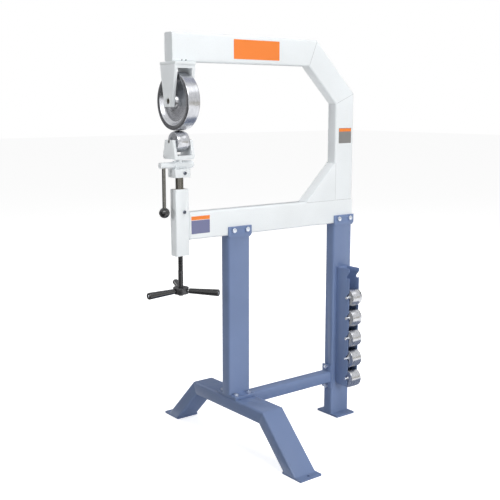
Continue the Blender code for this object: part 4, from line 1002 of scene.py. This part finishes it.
class AnvilOperator(bpy.types.Operator):
    """Turns the anvil in the yoke and the five spare ones, each with its own crown"""

    bl_idname = "wheeling.anvils"
    bl_label = "Anvils"

    def execute(self, context):
        metal = context.scene.wheel_metal
        for node, crown in ANVIL_CROWNS.items():
            low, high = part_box(node)
            centre, radius = (low + high) / 2, (high.z - low.z) / 2
            half, bore, recess = (high.x - low.x) / 2, PIN_BORE, RECESS_RADIUS
            face = half - 0.0022
            middle_of_arc = radius - crown
            last = middle_of_arc + math.sqrt(crown**2 - face**2)
            outer = [(half - 0.002, bore), (half - 0.002, recess - 0.0006), (half - 0.0014, recess)]
            outer += [(half - 0.0004, recess), (half, recess + 0.0004), (half, last - 0.0024)]
            outer += [(half - 0.0003, last - 0.0012), (half - 0.0010, last - 0.0004), (face, last)]
            steps = 8
            for i in range(1, steps + 1):
                along = face * (steps - i) / steps
                outer.append((along, middle_of_arc + math.sqrt(crown**2 - along**2)))
            inner = [(-along, size) for along, size in reversed(outer) if along > 0]
            item = add_turned(node + "_piece", outer + inner + [outer[0]], "x", centre, 112, True)
            steel = turned_steel(node + "_steel", centre, tuple(metal.steel), metal.steel_rough, 0.9)
            finish(item, steel, node, "ground_steel", node)
        return {"FINISHED"}


class PinOperator(bpy.types.Operator):
    """Makes the axle in the yoke and the bright axles of the spare anvils"""

    bl_idname = "wheeling.anvil_axles"
    bl_label = "Anvil axles"

    def execute(self, context):
        rows = [("anvil_axle", "anvil_yoke", "shaft_steel", "dark_steel")]
        rows += [(f"spare_axle_{i}", f"spare_axle_{i}", "pin_zinc", "zinc_plate") for i in range(1, 6)]
        for node, body, finish_name, slot in rows:
            low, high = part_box(node)
            centre = (low + high) / 2
            half, radius = (high.x - low.x) / 2, (high.z - low.z) / 2
            pin = add_rod(node + "_piece", radius, -half, half, "x", centre, 0.0009, 48)
            soften(pin, 0.0003, 2, 25.0)
            finish(pin, finish_name, body, slot, node)
        return {"FINISHED"}


class YokeOperator(bpy.types.Operator):
    """Dresses the yoke that holds the anvil"""

    bl_idname = "wheeling.yoke"
    bl_label = "Yoke"

    def execute(self, context):
        edge = context.scene.wheel_shape.soft_edge
        dress_solid("yoke", "white_enamel", "anvil_yoke", "white_paint", edge)
        return {"FINISHED"}


class CamOperator(bpy.types.Operator):
    """Makes the quick-release cam shaft, its lever and the ball knob"""

    bl_idname = "wheeling.release_cam"
    bl_label = "Release cam"

    def execute(self, context):
        dress_solid("cam_shaft", "white_enamel", "release_cam", "white_paint", 0.0)
        low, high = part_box("lever_rod")
        centre = (low + high) / 2
        half = (high.z - low.z) / 2
        rod = add_rod("lever_rod_piece", (high.x - low.x) / 2, -half, half, "z", centre, 0.0008)
        finish(rod, "lever_steel", "release_cam", "dark_steel", "lever_rod")
        low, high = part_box("ball_knob")
        radius = (high.x - low.x) / 2
        centre = Vector(((low.x + high.x) / 2, 0, low.z + radius))
        stations = arc((0, 0), radius, 179, 28, 40)
        seat = stations[-1][0]
        stations += [(seat, 0.0075), (seat - 0.0006, 0.0069), (seat - 0.006, 0.0069)]
        ball = add_turned("ball_knob_piece", stations, "z", centre, 80)
        finish(ball, "knob_black", "release_cam", "black_plastic", "ball_knob")
        return {"FINISHED"}


def add_socket_screw(node, spot):
    """A socket screw whose head is at the front, with its tip in the sleeve or the block."""
    low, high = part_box(node)
    centre = Vector((spot.x, 0, spot.z))
    head, shank = (high.z - low.z) / 2, 0.0035
    face = low.y + 0.004
    stations = [
        (low.y + 0.0028, 0.0030), (low.y + 0.0004, 0.0030), (low.y, 0.0034), (low.y, head - 0.0008),
        (low.y + 0.0008, head), (face, head), (face, shank), (high.y, shank),
    ]
    return add_turned(node + "_piece", stations, "y", centre, 40)


class HousingOperator(bpy.types.Operator):
    """Dresses the cam housing and makes its clamp screw"""

    bl_idname = "wheeling.cam_housing"
    bl_label = "Cam housing"

    def execute(self, context):
        edge = context.scene.wheel_shape.soft_edge
        dress_solid("cam_housing", "white_enamel", "lift_post", "white_paint", edge * 0.8, 2, 50.0)
        screw = add_socket_screw("housing_screw", middle("housing_screw"))
        finish(screw, "screw_steel", "lift_post", "black_oxide", "housing_screw")
        return {"FINISHED"}


class LiftOperator(bpy.types.Operator):
    """Makes the lift shaft, the square sleeve around it, and the bolt that keeps it from turning"""

    bl_idname = "wheeling.lift_column"
    bl_label = "Lift column"

    def execute(self, context):
        low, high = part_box("lift_shaft")
        centre = Vector((middle("upper_wheel").x, 0, 0))
        radius = (high.y - low.y) / 2
        shaft = add_rod("lift_shaft_piece", radius, low.z, high.z, "z", centre, 0.001, 96)
        bolt = middle("sleeve_bolt")
        x = centre.x + SLOT_SIDE
        slot_low = (x - SLOT_HALF, -0.03, bolt.z - SLOT_BELOW)
        slot = add_block("key_slot", slot_low, (x + SLOT_HALF, SLOT_FLOOR, bolt.z + SLOT_ABOVE))
        combine(shaft, slot, "DIFFERENCE")
        finish(shaft, "shaft_steel", "lift_post", "dark_steel", "lift_shaft")
        dress_solid("sleeve", "white_enamel", "frame", "white_paint", 0.0008)
        screw = add_socket_screw("sleeve_bolt", bolt)
        finish(screw, "screw_steel", "frame", "black_oxide", "sleeve_bolt")
        finish_node("guide_bush", stock("bush_steel"))
        finish_node("screw_nut", stock("shaft_steel"))
        return {"FINISHED"}


class HandScrewOperator(bpy.types.Operator):
    """Makes the lifting screw with its thread, and the hub with three spokes and grips"""

    bl_idname = "wheeling.hand_screw"
    bl_label = "Hand screw"

    def execute(self, context):
        low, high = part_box("lifting_screw")
        centre = Vector((middle("upper_wheel").x, 0, 0))
        radius = (high.x - low.x) / 2
        pitch = context.scene.wheel_shape.pitch
        thread_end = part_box("sleeve")[0].z - THREAD_STOP
        core, crest = radius - THREAD_CORE, radius - THREAD_CREST
        stations = [(low.z, crest - 0.001), (low.z + 0.001, crest), (thread_end, crest)]
        stations += [(thread_end + 0.0016, core), (high.z - 0.001, core), (high.z, core - 0.001)]
        bar = add_turned("screw_core", stations, "z", centre, 64)
        thread = self.add_thread(centre, core, crest, pitch, thread_end - 0.001, high.z - 0.004)
        screw = merge_pieces("lifting_screw_piece", [bar, thread])
        finish(screw, "black_oxide", "hand_screw", "black_oxide", "lifting_screw")
        self.add_hub(centre)
        for number in (1, 2, 3):
            self.add_handle(number, centre)
        return {"FINISHED"}

    def add_thread(self, centre, core, crest, pitch, start, end):
        """A line with the thread's form, wound up by a screw modifier."""
        form = ((core, 0.86), (crest, 0.56), (crest, 0.30), (core, 0.0))
        wire = add_line("thread", [(out, 0, pitch * share) for out, share in form])
        modifier = wire.modifiers.new("thread", "SCREW")
        modifier.axis = "Z"
        modifier.screw_offset = pitch
        modifier.iterations = int((end - start) / pitch)
        modifier.steps = 40
        modifier.render_steps = 40
        modifier.use_merge_vertices = True
        bpy.ops.object.modifier_apply(modifier=modifier.name)
        put(wire, (centre.x, 0, start))
        begin_edit(wire)
        bpy.ops.mesh.normals_make_consistent(inside=False)
        end_edit()
        return wire

    def add_hub(self, centre):
        low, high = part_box("handle_hub")
        radius = max(high.x - centre.x, centre.x - low.x)
        bottom, nose, bore = low.z + HUB_NOSE_HIGH, 0.010, 0.0097
        stations = [
            (low.z, 0.0035), (low.z, nose - 0.001), (low.z + 0.001, nose), (bottom - 0.001, nose),
            (bottom, nose + 0.001), (bottom, radius - 0.003),
        ]
        stations += arc((bottom + 0.003, radius - 0.003), 0.003, 180, 90, 5)
        stations += arc((high.z - 0.003, radius - 0.003), 0.003, 90, 0, 5)
        stations += [(high.z, bore + 0.0012), (high.z - 0.0012, bore), (bottom + 0.003, bore)]
        hub = add_turned("handle_hub_piece", stations, "z", centre, 96)
        for number in (1, 2, 3):
            spot = middle(f"grip_{number}") - centre
            tool = add_rod("hole", SPOKE_HOLE, SPOKE_START - 0.0003, 0.035, "x", (0, 0, 0), 0.0001, 40)
            put(tool, (centre.x, 0, (bottom + high.z) / 2), (0, 0, math.atan2(spot.y, spot.x)))
            combine(hub, tool, "DIFFERENCE")
        finish(hub, "black_oxide", "hand_screw", "black_oxide", "handle_hub")

    def add_handle(self, number, centre):
        grip_low, grip_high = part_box(f"grip_{number}")
        spot = (grip_low + grip_high) / 2 - centre
        bore, root, tip, start, end = SPOKE_HOLE, GRIP_ROOT, GRIP_TIP, GRIP_START, GRIP_END
        name = f"spoke_{number}_piece"
        spoke = add_rod(name, SPOKE_RADIUS, SPOKE_START, end - 0.008, "x", (0, 0, 0), 0.0005, 40)
        outside = [(end - 0.0065, bore), (start, bore), (start, root - 0.0014)]
        outside += arc((start + 0.0014, root - 0.0014), 0.0014, 180, 90, 4)
        outside += [(start + 0.012, root + 0.0003), (end - 0.02, tip - 0.0004)]
        outside += arc((end - 0.005, tip - 0.005), 0.005, 90, 0, 8)
        outside += [(end, bore + 0.0008), (end - 0.0008, bore)]
        grip = add_turned(f"grip_{number}_piece", outside + [outside[0]], "x", (0, 0, 0), 64, True)
        face = end - 0.0015
        stations = [
            (end - 0.0075, 0.0049), (face - 0.001, 0.0049), (face, 0.0040), (face, 0.0022),
            (face - 0.0027, 0.0020),
        ]
        head = add_turned(f"grip_screw_{number}", stations, "x", (0, 0, 0), 32)
        for item, finish_name, slot, *nodes in (
            (spoke, "spoke_steel", "ground_steel", f"spoke_{number}"),
            (grip, "grip_black", "black_plastic", f"grip_{number}"),
            (head, "pin_zinc", "zinc_plate"),
        ):
            put(item, (centre.x, 0, spot.z), (0, 0, math.atan2(spot.y, spot.x)))
            finish(item, finish_name, "hand_screw", slot, *nodes)


class StandOperator(bpy.types.Operator):
    """Dresses the posts, the cross member, the splayed legs and the brace"""

    bl_idname = "wheeling.stand"
    bl_label = "Stand"

    def execute(self, context):
        edge = context.scene.wheel_shape.soft_edge
        for node in ("front_post", "rear_post", "cross_member", "left_leg", "right_leg", "brace"):
            dress_solid(node, "blue_enamel", "frame", "blue_paint", edge, 2, 50.0)
        return {"FINISHED"}


class RackOperator(bpy.types.Operator):
    """Dresses the notched channel for the spare anvils"""

    bl_idname = "wheeling.rack"
    bl_label = "Anvil rack"

    def execute(self, context):
        dress_solid("rack", "blue_enamel", "frame", "blue_paint", 0.0006, 2, 50.0)
        return {"FINISHED"}


class BoltOperator(bpy.types.Operator):
    """Makes the bolts of the saddles, the base plate and the brace"""

    bl_idname = "wheeling.bolts"
    bl_label = "Bolts"

    def execute(self, context):
        names = [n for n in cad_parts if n.startswith(("saddle_bolt", "base_bolt", "brace_bolt"))]
        for node in names:
            self.add_bolt(node)
        return {"FINISHED"}

    def add_bolt(self, node):
        low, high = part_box(node)
        centre = (low + high) / 2
        if node.startswith("saddle"):
            axis, head_out, tail = "y", low.y - centre.y, high.y - centre.y
        elif node.startswith("base"):
            axis, head_out, tail = "z", high.z - centre.z, low.z - centre.z
        else:
            axis, head_out, tail = "x", low.x - centre.x, high.x - centre.x
        sign = 1 if head_out > 0 else -1
        under = head_out - sign * BOLT_HEAD_HIGH
        pieces = [add_hexagon(node + "_head", BOLT_HEAD_RADIUS, under, head_out, axis, centre)]
        ends = sorted((under + sign * 0.0004, tail))
        pieces.append(add_rod(node + "_shank", BOLT_RADIUS, *ends, axis, centre, 0.0008, 40))
        if axis == "y":
            ends = (-under, -head_out)
            pieces.append(add_hexagon(node + "_nut", BOLT_HEAD_RADIUS, *ends, axis, centre))
        bolt = merge_pieces(node + "_piece", pieces)
        finish(bolt, "bolt_zinc", "frame", "zinc_plate", node)


class LabelOperator(bpy.types.Operator):
    """Sticks on three plain labels that carry no words or signs"""

    bl_idname = "wheeling.labels"
    bl_label = "Plain labels"

    def execute(self, context):
        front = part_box("top_beam")[0].y
        for label in LABELS:
            self.add_label(front, *label)
        return {"FINISHED"}

    def add_label(self, front, name, across, up, finish_name, thick, corner):
        item = add_block(name, (across[0], front - thick, up[0]), (across[1], front, up[1]))
        round_lengthways(item, "y", corner, 4)
        finish(item, finish_name, "frame", "white_paint")


class StudioOperator(bpy.types.Operator):
    """Sets up the floor, the lamps, the room light and the camera"""

    bl_idname = "wheeling.studio"
    bl_label = "Studio"

    def execute(self, context):
        self.add_floor()
        self.add_lamps(context.scene.wheel_studio)
        self.add_boards()
        self.light_room(context.scene)
        self.add_camera(context.scene)
        context.scene.view_settings.view_transform = "Standard"
        return {"FINISHED"}

    def add_floor(self):
        bpy.ops.mesh.primitive_plane_add(size=60, location=(0, 0, -0.0005))
        floor = settle("floor")
        material, shader = plain_material(
            "floor_white", Base_Color=FLOOR_COLOUR, Roughness=0.9, Specular_IOR_Level=0.0,
            Emission_Color=(1, 1, 1, 1))
        tree = material.node_tree
        glow = math_node(tree, "MULTIPLY", ray_mask(tree), FLOOR_GLOW)
        tree.links.new(glow, shader.inputs["Emission Strength"])
        floor.data.materials.append(material)

    def add_lamps(self, studio):
        for name, place, target, size, setting in LAMPS:
            lamp = self.add_lamp(name, "AREA", place, target, getattr(studio, setting))
            lamp.data.shape = "DISK"
            lamp.data.size = size
        lamp = self.add_lamp("side_lamp", "SPOT", SPOT_PLACE, SPOT_TARGET, studio.side_power)
        lamp.data.spot_size = math.radians(SPOT_DEG)
        lamp.data.spot_blend = 0.25
        lamp.data.shadow_soft_size = 0.8

    def add_lamp(self, name, kind, place, target, power):
        """A lamp that lights paint but has no reflection of its own."""
        aim = (Vector(target) - Vector(place)).to_track_quat("-Z", "Y").to_euler()
        bpy.ops.object.light_add(type=kind, location=place, rotation=aim)
        lamp = bpy.context.object
        lamp.name = name
        lamp.data.energy = power
        lamp.visible_glossy = False
        return lamp

    def add_boards(self):
        """Dark boards, which give metal its edges, and bright ones, which give it its gleam."""
        for name, place, size, glow in STANDING_BOARDS:
            turn = (Vector(BOARD_TARGET) - Vector(place)).to_track_quat("Z", "Y").to_euler()
            self.add_board(name, place, turn, size, glow)
        for name, place, size, glow in FLOOR_BOARDS:
            self.add_board(name, place, (0, 0, 0), size, glow)

    def add_board(self, name, place, turn, size, glow):
        bpy.ops.mesh.primitive_plane_add(size=1, location=place, rotation=turn)
        bpy.context.object.scale = (*size, 1)
        board = settle(name)
        material, _ = plain_material(
            name, Base_Color=(0, 0, 0, 1), Specular_IOR_Level=0.0, Emission_Color=(*glow, 1),
            Emission_Strength=1.0)
        board.data.materials.append(material)
        board.visible_camera = False
        board.visible_diffuse = False
        board.visible_shadow = False

    def light_room(self, scene):
        world = bpy.data.worlds.new("room")
        scene.world = world
        world.use_nodes = True
        tree = world.node_tree
        nodes, links = tree.nodes, tree.links
        nodes.clear()
        seen, soft = nodes.new("ShaderNodeBackground"), nodes.new("ShaderNodeBackground")
        seen.inputs["Color"].default_value = (1, 1, 1, 1)
        soft.inputs["Color"].default_value = (1, 1, 1, 1)
        soft.inputs["Strength"].default_value = scene.wheel_studio.sky
        mix = nodes.new("ShaderNodeMixShader")
        links.new(ray_mask(tree, "Is Transmission Ray"), mix.inputs[0])
        links.new(soft.outputs[0], mix.inputs[1])
        links.new(seen.outputs[0], mix.inputs[2])
        output = nodes.new("ShaderNodeOutputWorld")
        links.new(mix.outputs[0], output.inputs["Surface"])

    def add_camera(self, scene):
        turn = tuple(math.radians(part) for part in CAMERA_TURN_DEG)
        bpy.ops.object.camera_add(location=CAMERA_PLACE, rotation=turn)
        camera = bpy.context.object
        camera.name = "photo_camera"
        camera.data.lens = scene.wheel_studio.lens
        camera.data.sensor_width = 36.0
        scene.camera = camera


PIECES = (
    FrameOperator, ForkOperator, UpperWheelOperator, AxleOperator, AnvilOperator, PinOperator,
    YokeOperator, CamOperator, HousingOperator, LiftOperator, HandScrewOperator, StandOperator,
    RackOperator, BoltOperator, LabelOperator, StudioOperator,
)


class WheelPanel(bpy.types.Panel):
    """Lists the pieces and the settings"""

    bl_idname = "VIEW3D_PT_wheel_dresser"
    bl_label = "English wheel"
    bl_space_type = "VIEW_3D"
    bl_region_type = "UI"
    bl_category = "Wheel"

    def draw(self, context):
        for piece in PIECES:
            self.layout.operator(piece.bl_idname)
        for name, group in SETTINGS.items():
            box = self.layout.box()
            for prop in group.__annotations__:
                box.prop(getattr(context.scene, name), prop)


SETTINGS = {
    "wheel_paint": PaintSettings,
    "wheel_metal": MetalSettings,
    "wheel_shape": ShapeSettings,
    "wheel_studio": StudioSettings,
}


def register():
    for name, group in SETTINGS.items():
        bpy.utils.register_class(group)
        setattr(bpy.types.Scene, name, bpy.props.PointerProperty(type=group))
    for item in (*PIECES, WheelPanel):
        bpy.utils.register_class(item)


def unregister():
    for item in (WheelPanel, *reversed(PIECES)):
        bpy.utils.unregister_class(item)
    for name, group in SETTINGS.items():
        delattr(bpy.types.Scene, name)
        bpy.utils.unregister_class(group)


def main():
    register()
    for piece in PIECES:
        module, _, name = piece.bl_idname.partition(".")
        getattr(getattr(bpy.ops, module), name)()


if __name__ == "__main__":
    main()
